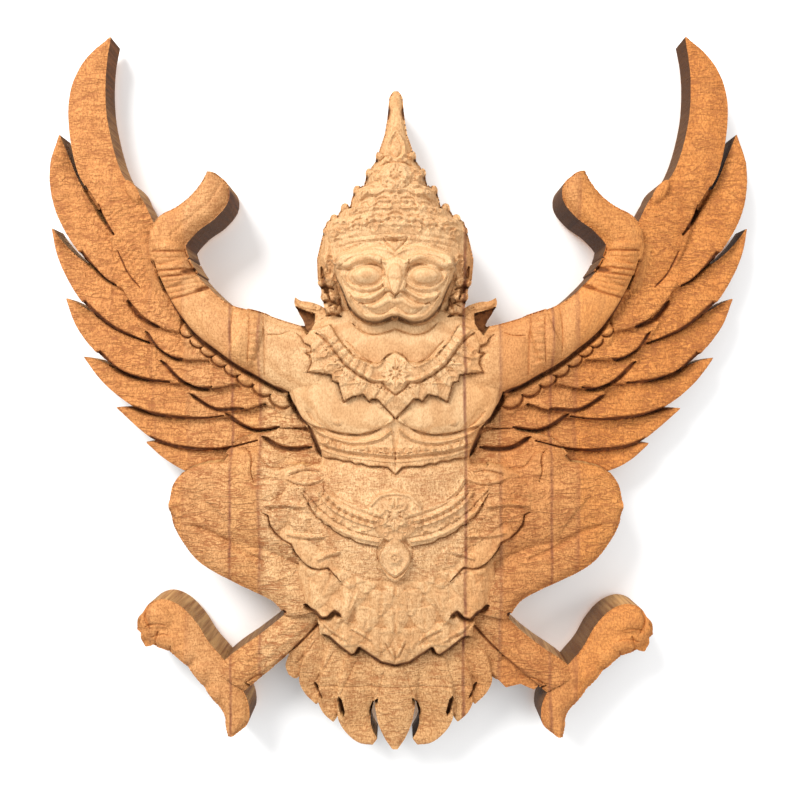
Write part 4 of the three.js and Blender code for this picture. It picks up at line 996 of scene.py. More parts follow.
def wing():
    cells, deep, _, _ = ribbon(WING_GROUND["lower"], WING_GROUND["upper"], sharp=True)
    lay(cells, deep, level(GROUND_LEVEL), 0.4)
    under_arm = moved(ARM["lower"], 1.5, -2.2)
    cells, deep, _, _ = ribbon(under_arm[:-2], ARM["lower"][:-2])
    lay(cells, deep, level(UNDER_ARM_LEVEL), 0.4)
    slab(BESIDE_HIP, BESIDE_HIP_LEVEL, 0.9)
    slab(BESIDE_WRIST, UNDER_ARM_LEVEL, 0.4)
    for shape in LONG_FEATHERS[::-1]:
        feather(shape, LONG_LEVELS, FEATHER_STEP, marks=0.95, barbs=1.1)
    cells, deep, u, v = ribbon(LEADING_FEATHER["outer"], LEADING_FEATHER["inner"])
    top = level(mix(*LEADING_LEVELS, ease(np.minimum(1, u * 1.3))))
    chevron = (u * LEADING_LENGTH / BARB_PITCH - 2 * np.abs(v - 0.5) + 0.3 * noise(6, 5, 5)[cells]) % 1
    groove = (0.5 - np.abs(chevron - 0.5)) * ease(u * 3 - 1)
    top = top + 1.4 * (0.25 - groove) - LEADING_CROWN * (2 * v - 1) ** 2
    lay(cells, deep, top, 0.8)
    shade_barb_grooves(cells, deep, top, groove)
    dome(KNOB["middle"], KNOB["size"], KNOB_LEVELS, KNOB["turn"])
    for shape in SHORT_FEATHERS[::-1]:
        feather(shape, SHORT_LEVELS, COVERT_STEP, marks=0.95, barbs=1.3)
    first, last = np.array(SCALES_UNDER_ARM["from"]), np.array(SCALES_UNDER_ARM["to"])
    lean = math.atan2(*(last - first)[::-1]) + SCALES_UNDER_ARM["turn"]
    size = [SCALES_UNDER_ARM["length"] / 2, SCALES_UNDER_ARM["width"] / 2]
    for t in np.linspace(0, 1, SCALES_UNDER_ARM["count"]):
        dome(mix(first, last, t), size, SCALE_LEVELS, lean)


def cuff(shape):
    cells, deep, u, v = ribbon(ARM["lower"], ARM["upper"], margin=4)
    span = np.minimum(u - shape["from"], shape["to"] - u) * ARM_LENGTH
    top = level(mix(*shape["levels"], arch(v)))
    lay(cells, np.minimum(deep + shape["swell"] * UNIT, span), top - 0.5 * np.clip(1 - span / 2, 0, 1), 0.4)


def arm():
    limb(ARM["lower"], ARM["upper"], LIMB_LEVELS["arm"], 0.3, power=0.75)
    limb(HAND["outer"], HAND["inner"], LIMB_LEVELS["hand"], 0.5)
    for shape in CUFFS:
        cuff(shape)


def leg():
    limb(SHANK["upper"], SHANK["lower"], LIMB_LEVELS["shank"], 0.9)
    limb(CALF["outer"], CALF["inner"], LIMB_LEVELS["calf"], 1.0)
    limb(THIGH["upper"], THIGH["lower"], LIMB_LEVELS["thigh"], 1.0)
    dome([19.8, -11], [5.4, 3.6], [44, 64.5], marks=0.9)
    dome(HIP_KNOB["middle"], HIP_KNOB["size"], HIP_KNOB_LEVELS)
    limb(FOOT["back"], FOOT["front"], LIMB_LEVELS["foot"], 0.5)
    for claw in CLAWS:
        feather(claw, CLAW_LEVELS, CLAW_STEP, 0.4)


def tail():
    for shape in TAIL_FEATHERS:
        feather(shape, TAIL_LEVELS, TAIL_STEP, 0.7)
    limb(TAIL_MIDDLE, flip(TAIL_MIDDLE), LIMB_LEVELS["tail"], 0.7)


def torso():
    out, up = grid_of((slice(0, rows), slice(0, columns)))
    stack(BODY, on_body, 0.45)
    trunk = np.abs(height - on_body(out, up)) < 0.01
    ripple[trunk] = (mix(BELLY_MARKS, CHEST_MARKS, ease((up / UNIT + 12) / 5)) + 0 * out)[trunk]

    def on_hip(x, z):
        share = np.minimum(1, np.abs(x) / UNIT / HIP_LEVELS["out"])
        fall = HIP_FALL * ease((np.abs(x) / UNIT - 14.5) / 4)
        return level(mix(HIP_LEVELS["middle"], HIP_LEVELS["side"], share)) - fall + 0 * z

    def on_lobe(x, z):
        return on_skirt(x, z) - LOBE_FALL * ease((np.abs(x) / UNIT - 10.8) / 2.8)

    cloth_layer(LOWER_LOBE, on_skirt, LIFTS["lower_lobe"])
    cloth_layer(SIDE_LOBE, on_lobe, LIFTS["side_lobe"])
    cloth_layer(HIP_CLOTH, on_hip, LIFTS["hip_cloth"])
    cloth_layer(BREAST, on_body, LIFTS["breast"], 0.1)
    bands = (
        (COLLAR_EDGE + COLLAR_TOP, "collar"), (NECK_OUT[::-1] + NECKLACE_TOP, "necklace"),
        (BAND_EDGE + PEC_RIM[::-1], "chest_band"), (BELT_EDGE + BELT_INSIDE[::-1], "belt"),
    )
    for outline, name in bands:
        lay_on(closed(outline, sharp=True), on_body, BAND_LIFT * LIFTS[name])
    for shape, name in ((BUCKLE, "buckle"), (PENDANT, "pendant")):
        lay_on(closed(shape + flip(shape[::-1])), on_body, BAND_LIFT * LIFTS[name])


def head():
    for point in TIER_ENDS:
        dome(point, TIER_END_SIZE, TIER_END_LEVELS)
    cells, deep, u, v = ribbon(EAR_FLARE["upper"], EAR_FLARE["lower"])
    lay(cells, deep, level(mix(*EAR_LEVELS, u)) + 1.2 * arch(v), 0.3)
    slab(BESIDE_CHEEK, BESIDE_CHEEK_LEVEL, 0.3)
    for curl in SIDE_CURLS:
        dome(curl, CURL_SIZE, CURL_LEVELS)
    stack(HEAD, on_head, 0.3)
    for up, half, tall, fall in CROWN_RIMS:
        low = [[share * half, up - fall * share**2] for share in (-1, -0.5, 0, 0.5, 1)]
        lay_on(ribbon(moved(low, 0, tall), low), on_head, BAND_LIFT / 2)
    limb(FACE, flip(FACE), LIMB_LEVELS["face"], 0.1)
    dome(EYE["middle"], EYE["size"], EYE_LEVELS, marks=0.1)
    limb(BROW["upper"], BROW["lower"], LIMB_LEVELS["brow"], 0.1)
    limb(BEAK, flip(BEAK), LIMB_LEVELS["beak"], 0.1)


def wing_carving():
    for at, (line, width, depth) in enumerate(WING_CUTS):
        if at % 2 == 0 and line[0][0] > 30:
            cut(line, width * 1.6, depth * 1.2, ends=(0.001, 0.95))
        else:
            cut(line, width, depth, ends=(0.08, 0.12))
    rope = np.array(ROPE)
    lean = math.atan2(*(rope[-1] - rope[0])[::-1]) - math.pi
    for at, middle in enumerate(rope):
        size = 0.75 + 0.07 * at
        lens(middle, [size * 1.35, size * 0.72], 1.9, lean - 0.25)
        crescent = [[-1.25, 0.1], [-0.7, -0.62], [0.2, -0.86], [1.0, -0.6], [1.35, -0.15]]
        cosine, sine = math.cos(lean), math.sin(lean)
        turned = [[a * cosine - b * sine, a * sine + b * cosine] for a, b in crescent]
        cut([[middle[0] + a * size, middle[1] + b * size] for a, b in turned], 1.2 + 0.16 * at, 1.9, 0.75)
    cut(ARM_LINE, 3.2, 3.4, ends=(0.5, 0.04))
    cut(ARMPIT, 3.2, 3.4)
    cut(BODY_SIDE, 3, 3.2)
    ridge([[37.9, 27.6], [39.2, 31.5], [40.6, 36.5], [41.2, 42]], 3, 0.5)


def arm_carving():
    for first, last, lines in ((WRIST[0], WRIST[1], 4), (WRIST[2], WRIST[3], 5)):
        for t in np.linspace(0, 1, lines):
            low, high = (mix(np.array(first[end]), np.array(last[end]), t) for end in (0, 1))
            bend = mix(low, high, 0.5) - [0, 0.15]
            width, depth, dark = (1.7, 1.1, 0.6) if t in (0, 1) else (1.1, 0.6, 0.25)
            cut([low, bend, high], width, depth, dark, ends=(0.05, 0.05))
    hole([29, 17], [1.3, 0.45], 2.4, 0.9, -0.35)
    hole([27.2, 14.4], [1.3, 0.4], 2, 0.7, -0.35)
    for line, width in zip(ARMLET, (1.1, 1.1, 1.6)):
        cut(line, width, 0.7, 0.45)
    beads(moved(ARMLET[2], 0.6, 0), 2.6, 1.8, 0.5)
    leaves(ARMLET[1], 4.5, 6, 0.5, side=-1)
    ridge([[21.9, 11.4], [21.8, 8], [21.8, 4.4]], 4, 0.6)
    cut(SHOULDER, 1, 0.8, 0.4)
    cut([[24.2, 29.6], [26, 26.8], [29, 24.2], [31.8, 21.8]], 2.4, 0.5, 0.1)


def eye_carving():
    middle, (wide, tall) = EYE["middle"], EYE["size"]
    turns = np.linspace(0, 2 * math.pi, 25)
    cut(arc(middle, [wide * 1.14, tall * 1.2], turns), 2.2, 1.1, 0.08, ends=(0.01, 0.01))
    lens(middle, [wide * 0.94, tall * 0.92], 1.1, power=0.5)
    sink(BROW_LINE, 5, 1.1, side=-1, dark=0.05)
    ridge(BROW_RIDGE, 4.2, 1.3, ends=(0.15, 0.5))
    cut(BROW_LINE, 1.3, 0.8, 0.18)
    cut([[1.7, 17.3], [2.8, 18.5], [4.2, 18.6], [6, 18.2], [7.8, 16.9]], 1.3, 0.8, 0.14)
    ridge([[0.3, 18.7], [1.6, 19.4], [3, 19.7], [4.6, 19.6], [6.2, 19.1], [7.6, 18.3], [8.8, 17.5]], 2.6, 1)
    cut([[0.9, 19.3], [2.2, 20.2], [4, 20.4], [5.6, 19.9], [7.2, 19.3]], 1.2, 0.6, 0.12)
    ridge(UNDER_EYE, 2.4, 0.9, ends=(0.3, 0.2))
    cut(moved(UNDER_EYE, 0.05, -0.5), 1.2, 0.7, 0.15)


def face_carving():
    soften(FACE_FIELD, 16)
    eye_carving()
    lens([0, 16.8], [2, 1.5], 1.9, power=0.55)
    lens([0, 15.2], [1.5, 2.3], 1.1, power=0.6)
    notch = [[0, 19.1], [1.1, 20.2], [1.9, 21.3], [0, 20.9], [-1.9, 21.3], [-1.1, 20.2]]
    cells, deep = closed(notch, sharp=True)
    lift(cells, deep, -1.2, edge=1.4)
    foliage(notch, 37, 2.2, 0.9, 0.4)
    cut([[1.7, 21.1], [1.1, 20.2], [0, 19]], 1.4, 1, 0.4, ends=(0.5, 0.01))
    cut([[1.4, 21.2], [0.8, 21], [0, 20.7]], 1.1, 0.5, 0.22, ends=(0.6, 0.01))
    foliage([[0.6, 20.9], [5, 20.9], [9.2, 20.2], [8.8, 18.9], [5.4, 19.6], [2.2, 19.7]], 38, 3.4, 0.6, 0.12)
    cut(NOSE_SIDE, 1.7, 1.3, 0.15)
    lens([1.05, 15.4], [0.55, 0.7], 0.6)
    cut(NOSE_WING, 1.1, 0.9, 0.3)
    ridge(CHEEK, 2.6, 1.2, ends=(0.3, 0.3))
    cut(moved(CHEEK, 0, -0.5), 1.2, 0.7, 0.12)
    ridge(CHEEK_SIDE, 2.4, 0.9)
    foliage([[2.2, 12.6], [6.2, 13.6], [6.6, 12.6], [4.6, 11.6], [2.4, 11.9]], 31, 3.6, 0.6, 0.12)
    foliage([[1.6, 14.8], [6.8, 15.6], [7.4, 14.6], [5.6, 12.8], [2, 13.2]], 39, 3.2, 0.45, 0.1)
    cut(MOUTH, 1.7, 1.5, 0.5, ends=(0.35, 0.01))
    ridge(UPPER_LIP, 3.2, 1.1, ends=(0.4, 0.01))
    cut(LIP_LINE, 1.5, 1, 0.2, ends=(0.4, 0.01))
    ridge(JAW_INNER, 3.4, 1.2, ends=(0.3, 0.01))
    cut(JAW_OUTER, 1.8, 1.1, 0.2, ends=(0.3, 0.01))
    sink(CHIN_LINE, 6, 1.2, side=-1)
    cut(CHIN_LINE, 1.6, 1.2, 0.3, ends=(0.2, 0.01))
    ridge(TEMPLE, 3.4, 1)
    cut(HEAD_HOLLOW, 3.2, 3, 0.8, ends=(0.25, 0.25))
    for at, curl in enumerate(SIDE_CURLS):
        scroll(curl, 0.8, 0.9, 1.4, 0.8, start=2.6 + at)
        hole([curl[0] + 0.4, curl[1] + 0.6], [0.5, 0.22], 2.4, 0.8, 0.6 - 0.5 * at)
        cut(moved([[-1, -0.9], [0, -0.6], [1.1, -0.8]], *curl), 1.8, 2.4, 0.7)
    scroll([9.1, 18.5], 0.85, 1.2, 1.5, 1, start=-0.6, hand=-1)
    scroll([9.6, 16.9], 0.7, 1, 1.3, 0.9, start=0.6)
    hole([7.9, 12.2], [0.3, 1.3], 1.8, 0.6, 0.25)
    foliage(EAR_LEAVES, 32, 3.6, 1.5, 0.45)
    scroll([11, 11.9], 0.8, 1.2, 1.4, 0.9)
    cells, deep = closed(EAR_UNDERSIDE, sharp=True)
    under = ease(0.5 + deep / STEP_WIDTH)
    height[cells] -= 9 * under * np.minimum(1, height[cells] / 20)
    # painted shade on the floor under the ear flare
    darken(cells, 0.85 * under)
    ridge([[14.1, 13.2], [13.3, 12.3], [12.3, 12], [11.3, 11.6]], 2.6, 1.2)
    leaves([[12.6, 8.6], [11, 9.8], [9.4, 10.6], [7.6, 11]], 4.5, 4, 0.9, side=-1)


def crown_carving():
    cut(FOREHEAD, 1.3, 0.6, 0.1, ends=(0.2, 0.3))
    cut(DIADEM, 1.1, 0.5, 0.12, ends=(0.2, 0.2))
    beads(moved(DIADEM, 0, -0.5), 2.4, 1.9, 0.5)
    for shape, seed, grain, rise in CROWN_FIELDS:
        foliage(shape, seed, grain, rise, 0.14)
    for at, line in enumerate(TIER_LINES):
        wavy = [[out, up + 0.22 * math.sin(2.6 * out + at)] for out, up in smooth_line(line) / UNIT]
        cut(wavy, 1.5, 0.7, 0.12, ends=(0.01, 0.3))
        ridge(moved(wavy, 0, 0.4), 1.8, 0.6, ends=(0.01, 0.3))
    for line, pitch in ((TIER_LINES[1], 4.2), (TIER_LINES[3], 3.8)):
        leaves(line, pitch, 4, 0.9, side=-1)
    cells, deep = closed(DROP)
    lift(cells, deep, 1)
    hole([0, 20.6], [1, 0.3], 0.9, 0.35)
    hole([0, 18.3], [0.22, 0.22], 0.6, 0.3)
    lens([0, 22.6], [0.8, 1.1], 1.2)
    for out, up in TIER_ENDS:
        scroll([out - 0.9, up - 0.5], 0.8, 1.1, 1.3, 0.9, start=0.4)
        lens([out - 0.9, up - 0.5], [1.1, 1], 0.9)
    lens([0, 29.8], [2.3, 2.1], 1.4, power=0.4)
    flower([0, 29.8], 1.9, 8, 1.3, 0.08)
    ridge(arc([0, 29.8], [1.5, 1.5], np.linspace(-1.6, 1.6, 9)), 1.3, 0.8, ends=(0.01, 0.01))
    cut(arc([0, 29.9], [2.3, 2.3], np.linspace(-1.5, 1.5, 9)), 1, 0.7, 0.2)
    for side in (0.5, -0.4):
        lens([3.3, 29.7 + side], [0.6, 1.2], 1.5, side)
    cut(SPIRE_FOOT, 1.4, 1, 0.4, ends=(0.01, 0.1))
    bud = [[0, 36.6], [1.1, 34.8], [1.25, 33.4], [0.8, 32.4], [0, 32]]
    ridge(bud, 1.6, 1.1, ends=(0.01, 0.01))
    cut([[out * 0.62, 34 + (up - 34) * 0.7] for out, up in bud], 1, 0.7, 0.2, ends=(0.01, 0.01))
    lens([0, 33.2], [0.4, 0.6], 0.8)
    hole([1.05, 39.5], [0.36, 1.3], 1.2, 1)


def chest_carving():
    sink(COLLAR_EDGE, 3.4, 0.9, side=-1, sharp=True, dark=0.15)
    cut(COLLAR_EDGE, 1.3, 1.2, 0.6, sharp=True, ends=(0.01, 0.1))
    leaves(NECK_OUT[::-1], 8.5, 11, 1.1, side=-1)
    foliage(COLLAR_EDGE + NECK_OUT[::-1], 41, 4.4, 0.8, 0.2)
    cut(NECK_OUT, 1.7, 1.5, 0.5, ends=(0.1, 0.01))
    ridge(moved(NECK_OUT[:-1], -0.35, 0.35), 1.8, 1)
    cut(NECK_IN, 1.3, 1, 0.3, ends=(0.1, 0.01))
    ridge(moved(NECK_IN[:-1], 0.2, -0.4), 1.5, 0.9)
    for side in (1, -1):
        leaves(NECK_ROW, 4.4, 4.6, 1.1, side)
    cut(BEAD_LINE, 1, 0.8, 0.2)
    beads(BEAD_LINE, 2, 1.6, 0.8)
    flower([0, 2.6], 2, 8, 1.4)
    sink(PEC, 7, 1.4, side=-1)
    cut(PEC, 1.5, 0.8, 0.12)
    ridge(PEC_RIM, 2.2, 1.3)
    cut(moved(PEC_RIM, 0, -0.55), 1.2, 0.8, 0.2)
    foliage(strip(BAND_ROW, 1.5), 42, 2.8, 1.3, 0.4)
    lozenges(BAND_ROW, 4.6, 5, 1.8)
    ridge(moved(BAND_TOP, 0, 0.3), 1.6, 1.2, ends=(0.1, 0.01))
    cut(moved(BAND_TOP, 0, -0.15), 1.1, 0.8, 0.25, ends=(0.1, 0.01))
    ridge(moved(BAND_TOP, 0, -0.55), 1.5, 1, ends=(0.1, 0.01))
    cut(BAND_EDGE, 1.4, 1.3, 0.6, sharp=True, ends=(0.1, 0.01))
    sink(BAND_EDGE, 3, 0.8, side=1, sharp=True)
    beads(moved(BAND_EDGE[:-1], 0, 0.4), 2.2, 1.9, 0.6)
    lens([8, -4.2], [0.5, 0.4], 0.8)
    cut([[8.6, -4.3], [8, -4.7], [7.4, -4.4]], 0.8, 0.5, 0.15)


def waist_carving():
    sink(BELT_EDGE, 4, 1, side=1, sharp=True)
    cut(BELT_EDGE, 1.4, 1.3, 0.55, sharp=True)
    ridge(BELT_RIM, 2.2, 1.3)
    cut(moved(BELT_RIM, -0.35, 0.5), 1.2, 1, 0.25)
    foliage(strip(BELT_ROW, 1.4), 43, 2.8, 1.3, 0.35)
    leaves(moved(BELT_ROW, -0.3, 0.7), 4.2, 5, 1.2, side=-1)
    ridge(moved(BELT_TOP, 0.2, -0.4), 1.5, 1.1)
    cut(BELT_TOP, 1.1, 0.9, 0.25)
    ridge(moved(BELT_TOP, -0.3, 0.4), 1.5, 1.1)
    cut(moved(BELT_TOP, -0.6, 0.9), 1.1, 0.8, 0.2)
    ridge(moved(BELT_TOP, -0.9, 1.3), 1.4, 0.8)
    ridge(moved(BUCKLE_ARC, -0.1, -0.35), 1.5, 1, ends=(0.2, 0.01))
    cut(BUCKLE_ARC, 1.2, 0.9, 0.25, ends=(0.2, 0.01))
    flower([0, -16.6], 2.2, 8, 1.4)
    foliage([[0, -13.8], [2.2, -14.4], [3.6, -16.4], [3, -19], [1.6, -20.6], [0, -20.8]], 47, 2.6, 0.8)
    cut(PENDANT_LINE, 1.3, 1.1, 0.25)
    ridge([[out * 0.8, -23 + (up + 23) * 0.8] for out, up in PENDANT_LINE], 1.5, 0.9)
    flower([0, -22.6], 1, 6, 1)
    for line in KNOTS:
        ridge(line, 2.2, 1.1)
        cut(moved(line, 0, -0.4), 1, 0.8, 0.15)
    lens([12.1, -11.4], [0.9, 0.3], 0.8)
    sink(HIP_EDGE, 3.5, 0.9, side=1, sharp=True)
    cut(HIP_EDGE, 1.8, 1.7, 0.8, sharp=True)
    hip_cloth = HIP_CLOTH["lower"] + HIP_CLOTH["upper"][::-1]
    flames(hip_cloth, [12, -9], 3, 17, 5, 3.4, 1.1)
    foliage(hip_cloth, 52, 6, 0.4, 0.1)
    for line in HIP_FOLDS:
        ridge(line, 2.4, 1.5)
        cut(moved(line, 0, -0.5), 1.2, 0.5, 0.06)
    cut(HIP_CURVE, 1.6, 1, 0.35)
    hip_side = [[21.3, -7.8], [20.6, -8.4], [20.3, -9.5], [20.4, -10.8], [20, -12.4]]
    cut(hip_side, 1.5, 1.4, 0.5, ends=(0.15, 0.7))
    hole([8.95, -25.1], [0.28, 0.28], 0.8, 0.5)


def skirt_carving():
    skirt = [[13, -24], [12.6, -29.6], [10.4, -33.6], [7.6, -35.6], [5.2, -35.4], [2, -37.4], [-0.1, -38]]
    skirt += [[-0.1, -26.6], [3, -26], [7, -24.4]]
    flames(skirt, [0, -10], 13, 29, 6, 4.2, 1.8)
    foliage(skirt, 53, 4, 0.35, 0.08)
    sink(LOBE_EDGE, 4, 1, side=1, sharp=True)
    cut(LOBE_EDGE, 3.8, 3.4, 1, sharp=True, ends=(0.04, 0.04))
    sink(SKIRT_EDGE, 4, 1, side=1, sharp=True)
    cut(SKIRT_EDGE, 3.4, 3, 1, sharp=True, ends=(0.05, 0.01))
    for line in SKIRT_FOLDS:
        ridge(line, 2.2, 1.2)
        cut(moved(line, 0.2, -0.4), 1.2, 0.8, 0.15)


def lower_carving():
    cut(TAIL_SLOT, 2.8, 9, 1)
    cut(TAIL_PIT, 2.6, 6, 1)
    cut(TAIL_CRACK, 1.8, 3, 0.9)
    for line in TAIL_RIBS:
        cut(line, 1.4, 0.7, 0.25)
    cut(TAIL_SHANK, 2, 2.4, 0.85)
    cut([[12.8, -41.7], [6, -41.6], [-0.1, -41.6]], 0.7, 0.5, 0.35, ends=(0.02, 0.01))
    cut(CREASE, 4, 1.3, 0.2)
    cut(HEEL, 2.2, 3, 0.9)
    for line in (SHANK_UPPER, SHANK_LOWER):
        cut(line, 1.6, 1.2, 0.5)
    hole([15.9, -30.9], [0.4, 0.3], 3, 1)
    for shift in (-1.4, 0, 1.4):
        side, end = shift * 0.7, shift * 0.6
        ridge([[12.4 + side, -32.6 + side], [17 + side, -36 + side], [20.6 + end, -38.8 + end]], 2.6, 0.5)
    for out, up in ((35.4, -33.4), (34.6, -34.9)):
        cut([[out, up], [out - 1.6, up + 0.5], [out - 3, up + 0.3]], 1.4, 0.9, 0.3)
    for out, up, turn in FOOT_LUMPS:
        lens([out, up], [2.2, 1.5], 2.3, turn)
        cut([[out + 1.4, up + 1.6], [out + 1.9, up - 0.2], [out + 1.2, up - 1.8]], 1.8, 1.3, 0.35)


for step in (
    wing, arm, tail, leg, torso, head,
    wing_carving, arm_carving, face_carving, crown_carving,
    chest_carving, waist_carving, skirt_carving, lower_carving,
):
    step()


def whole(field):
    """The field over both halves."""
    return np.concatenate([field[:, :0:-1], field], axis=1)


height, inside, shade_and_dirt, ripple = whole(height), whole(inside), whole(shade_and_dirt), whole(ripple)
out_line = np.concatenate([-out_line[:0:-1], out_line])
columns = len(out_line)
cells, deep, _, _ = ribbon(LEFT_STANDING["lower"], LEFT_STANDING["upper"], sharp=True)
lay(cells, deep, level(STANDING_LEVEL), 0.9)


def settled_edge():
    """Gives cells at the outline the height of the wood beside them, so that the walls stay upright."""
    solid = inside > STEP_WIDTH / 2
    for _ in range(3):
        best = np.zeros_like(height)
        padded = np.pad(np.where(solid, height, 0), 1)
        for down in (0, 1, 2):
            for right in (0, 1, 2):
                best = np.maximum(best, padded[down : down + rows, right : right + columns])
        fresh = ~solid & (best > 0)
        height[fresh] = best[fresh]
        solid |= fresh


settled_edge()
height += WAVE * noise(5, 14, 7) * (0.3 + ripple) + GOUGE * noise(8, 8, 2.8) * ripple
height = np.clip(height, LEAST_HEIGHT, HIGHEST)
# painted shade in the hollows: wood that lies lower than the wood around it is darkened
hollow = (blurred(height, 10) - height) / 1.4
shade_and_dirt = np.maximum(shade_and_dirt, HOLLOW_SHADE * ease(hollow - 0.15))


def field_at(field, x, z):
    col = np.clip((x - out_line[0]) / PITCH, 0, columns - 1.001)
    row = np.clip((z - up_line[0]) / PITCH, 0, rows - 1.001)
    i, j = col.astype(int), row.astype(int)
    fx, fz = col - i, row - j
    return mix(mix(field[j, i], field[j, i + 1], fx), mix(field[j + 1, i], field[j + 1, i + 1], fx), fz)


def read_places(mesh):
    places = np.zeros(len(mesh.vertices) * 3, np.float32)
    mesh.vertices.foreach_get("co", places)
    return places.reshape(-1, 3).astype(float)


def carved_mesh():
    """One closed mesh: the carved front, upright walls and the flat back."""
    bm = bmesh.new()
    bmesh.ops.create_grid(bm, x_segments=columns - 1, y_segments=rows - 1, size=0.5)
    mesh = bpy.data.meshes.new("carved_garuda")
    bm.to_mesh(mesh)
    bm.free()
    places = read_places(mesh)
    col = np.rint((places[:, 0] + 0.5) * (columns - 1)).astype(int)
    row = np.rint((places[:, 1] + 0.5) * (rows - 1)).astype(int)
    places = np.column_stack([out_line[col], -height[row, col], up_line[row]])
    kept = inside[row, col] > -KEPT_OUTSIDE * PITCH
    mesh.vertices.foreach_set("co", places.astype(np.float32).ravel())
    bm = bmesh.new()
    bm.from_mesh(mesh)
    bmesh.ops.delete(bm, geom=[v for v, keep in zip(bm.verts, kept) if not keep], context="VERTS")
    for _ in range(3):
        pinched = [v for v in bm.verts if sum(e.is_boundary for e in v.link_edges) > 2 or not v.link_faces]
        if not pinched:
            break
        bmesh.ops.delete(bm, geom=pinched, context="VERTS")
    rim = [v for v in bm.verts if v.is_boundary]
    x = np.array([v.co.x for v in rim])
    z = np.array([v.co.z for v in rim])
    for _ in range(2):
        depth = field_at(inside, x, z)
        slope_x = field_at(inside, x + SLOPE_REACH, z) - field_at(inside, x - SLOPE_REACH, z)
        slope_z = field_at(inside, x, z + SLOPE_REACH) - field_at(inside, x, z - SLOPE_REACH)
        steep = np.maximum(np.hypot(slope_x, slope_z), 0.2)
        move = np.clip(depth, -RIM_MOVE, RIM_MOVE) / steep
        x, z = x - move * slope_x, z - move * slope_z
    for v, new_x, new_z in zip(rim, x, z):
        v.co.x, v.co.z = new_x, new_z
    behind = {v: bm.verts.new((v.co.x, 0, v.co.z)) for v in rim}
    for edge in [e for e in bm.edges if e.is_boundary]:
        loop = edge.link_loops[0]
        near, far = loop.vert, loop.link_loop_next.vert
        bm.faces.new((far, near, behind[near], behind[far]))
    back = [e for e in bm.edges if e.is_boundary]
    bmesh.ops.triangle_fill(bm, edges=back, use_beauty=False, use_dissolve=False)
    bmesh.ops.recalc_face_normals(bm, faces=bm.faces)
    bm.to_mesh(mesh)
    bm.free()
    return mesh


def thinned(mesh):
    """The mesh with fewer triangles where the carving is plain."""
    piece = bpy.data.objects.new("carved_garuda", mesh)
    bpy.context.scene.collection.objects.link(piece)
    triangles = sum(len(face.vertices) - 2 for face in mesh.polygons)
    fewer = piece.modifiers.new("fewer", "DECIMATE")
    fewer.ratio = min(1, TRIANGLES / triangles)
    found = piece.evaluated_get(bpy.context.evaluated_depsgraph_get())
    thin = bpy.data.meshes.new_from_object(found)
    piece.modifiers.clear()
    piece.data = thin
    bpy.data.meshes.remove(mesh)
    return piece


carving = thinned(carved_mesh())
SLACK = 1e-6  # metres inside the box of the solids
AT_BACK = 1  # points nearer to the back than this, in millimetres, lie on it
BACK_MARKS = 0.3
SHARP_TURN = 62  # edges that turn more than this, in degrees, are drawn sharp


def drifted(places):
    """Shifts places by the small difference between the two sides of the carving."""
    out, up = places[:, 0] / UNIT, places[:, 2] / UNIT
    total, outward, upward = np.zeros(len(out)), np.zeros(len(out)), np.zeros(len(out))
    for at_out, at_up, shift_out, shift_up in DRIFT:
        weight = 1 / ((out - at_out) ** 2 + (up - at_up) ** 2 + DRIFT_REACH**2) ** 2
        total += weight
        outward += weight * shift_out
        upward += weight * shift_up
    return places + np.column_stack([outward / total, 0 * total, upward / total])


def walls_and_back(mesh):
    """Lays the flat back afresh, and marks the edges of the walls as sharp."""
    bm = bmesh.new()
    bm.from_mesh(mesh)
    share = {}
    for face in bm.faces:
        share[face] = sum(v.co.y > -AT_BACK / METRE for v in face.verts) / len(face.verts)
    for edge in bm.edges:
        sides = {math.ceil(share[face]) + math.floor(share[face]) for face in edge.link_faces}
        if len(sides) > 1:
            edge.smooth = False
    level = [face for face in bm.faces if share[face] == 1]
    whole = bmesh.ops.dissolve_faces(bm, faces=level, use_verts=True)["region"]
    laid = bmesh.ops.triangulate(bm, faces=whole, quad_method="BEAUTY", ngon_method="BEAUTY")["faces"]
    for face in laid:
        face.smooth = False
    bm.to_mesh(mesh)
    bm.free()


def finished(piece):
    """Puts the mesh in its place, in metres, and gives each point its share of grime and painted shade, marks
    and height.
    """
    mesh = piece.data
    places = read_places(mesh)
    behind = places[:, 1] > -AT_BACK
    places[behind, 1] = 0
    shade_and_dirt_share = np.where(behind, 0, np.clip(field_at(shade_and_dirt, places[:, 0], places[:, 2]), 0, 1))
    tooled = np.where(behind, BACK_MARKS, np.clip(field_at(ripple, places[:, 0], places[:, 2]), 0, 1))
    raised = np.clip(-places[:, 1] / DEPTH, 0, 1)
    low, high = (np.array(corner, float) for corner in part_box("garuda_carving"))
    places = np.clip(drifted(places) / METRE, low + SLACK, high - SLACK)
    mesh.vertices.foreach_set("co", places.astype(np.float32).ravel())
    # the red share carries grime and painted shade, the green the tool marks, the blue the height
    marks = mesh.attributes.new("marks", "FLOAT_COLOR", "POINT")
    shares = np.column_stack([shade_and_dirt_share, tooled, raised, np.ones(len(places))])
    marks.data.foreach_set("color", shares.astype(np.float32).ravel())
    mesh.polygons.foreach_set("use_smooth", [True] * len(mesh.polygons))
    mesh.set_sharp_from_angle(angle=math.radians(SHARP_TURN))
    walls_and_back(mesh)
    mesh.update()


finished(carving)

material = bpy.data.materials.new("carved wood")
material.use_nodes = True
tree = material.node_tree


def add(kind, **settings):
    """A node of the wood's material, with settings for its sockets or for itself."""
    made = tree.nodes.new(kind)
    for name, value in settings.items():
        if name in made.inputs:
            made.inputs[name].default_value = value
        else:
            setattr(made, name, value)
    return made


def stretched_noise(place, scale, detail=2.0, distortion=0.0):
    """Noise with grains of its own width along each axis."""
    mapping = add("ShaderNodeMapping")
    mapping.inputs["Scale"].default_value = scale
    tree.links.new(place, mapping.inputs["Vector"])
    made = add("ShaderNodeTexNoise", Scale=1.0, Detail=detail, Distortion=distortion)
    tree.links.new(mapping.outputs["Vector"], made.inputs["Vector"])
    return made.outputs["Fac"]


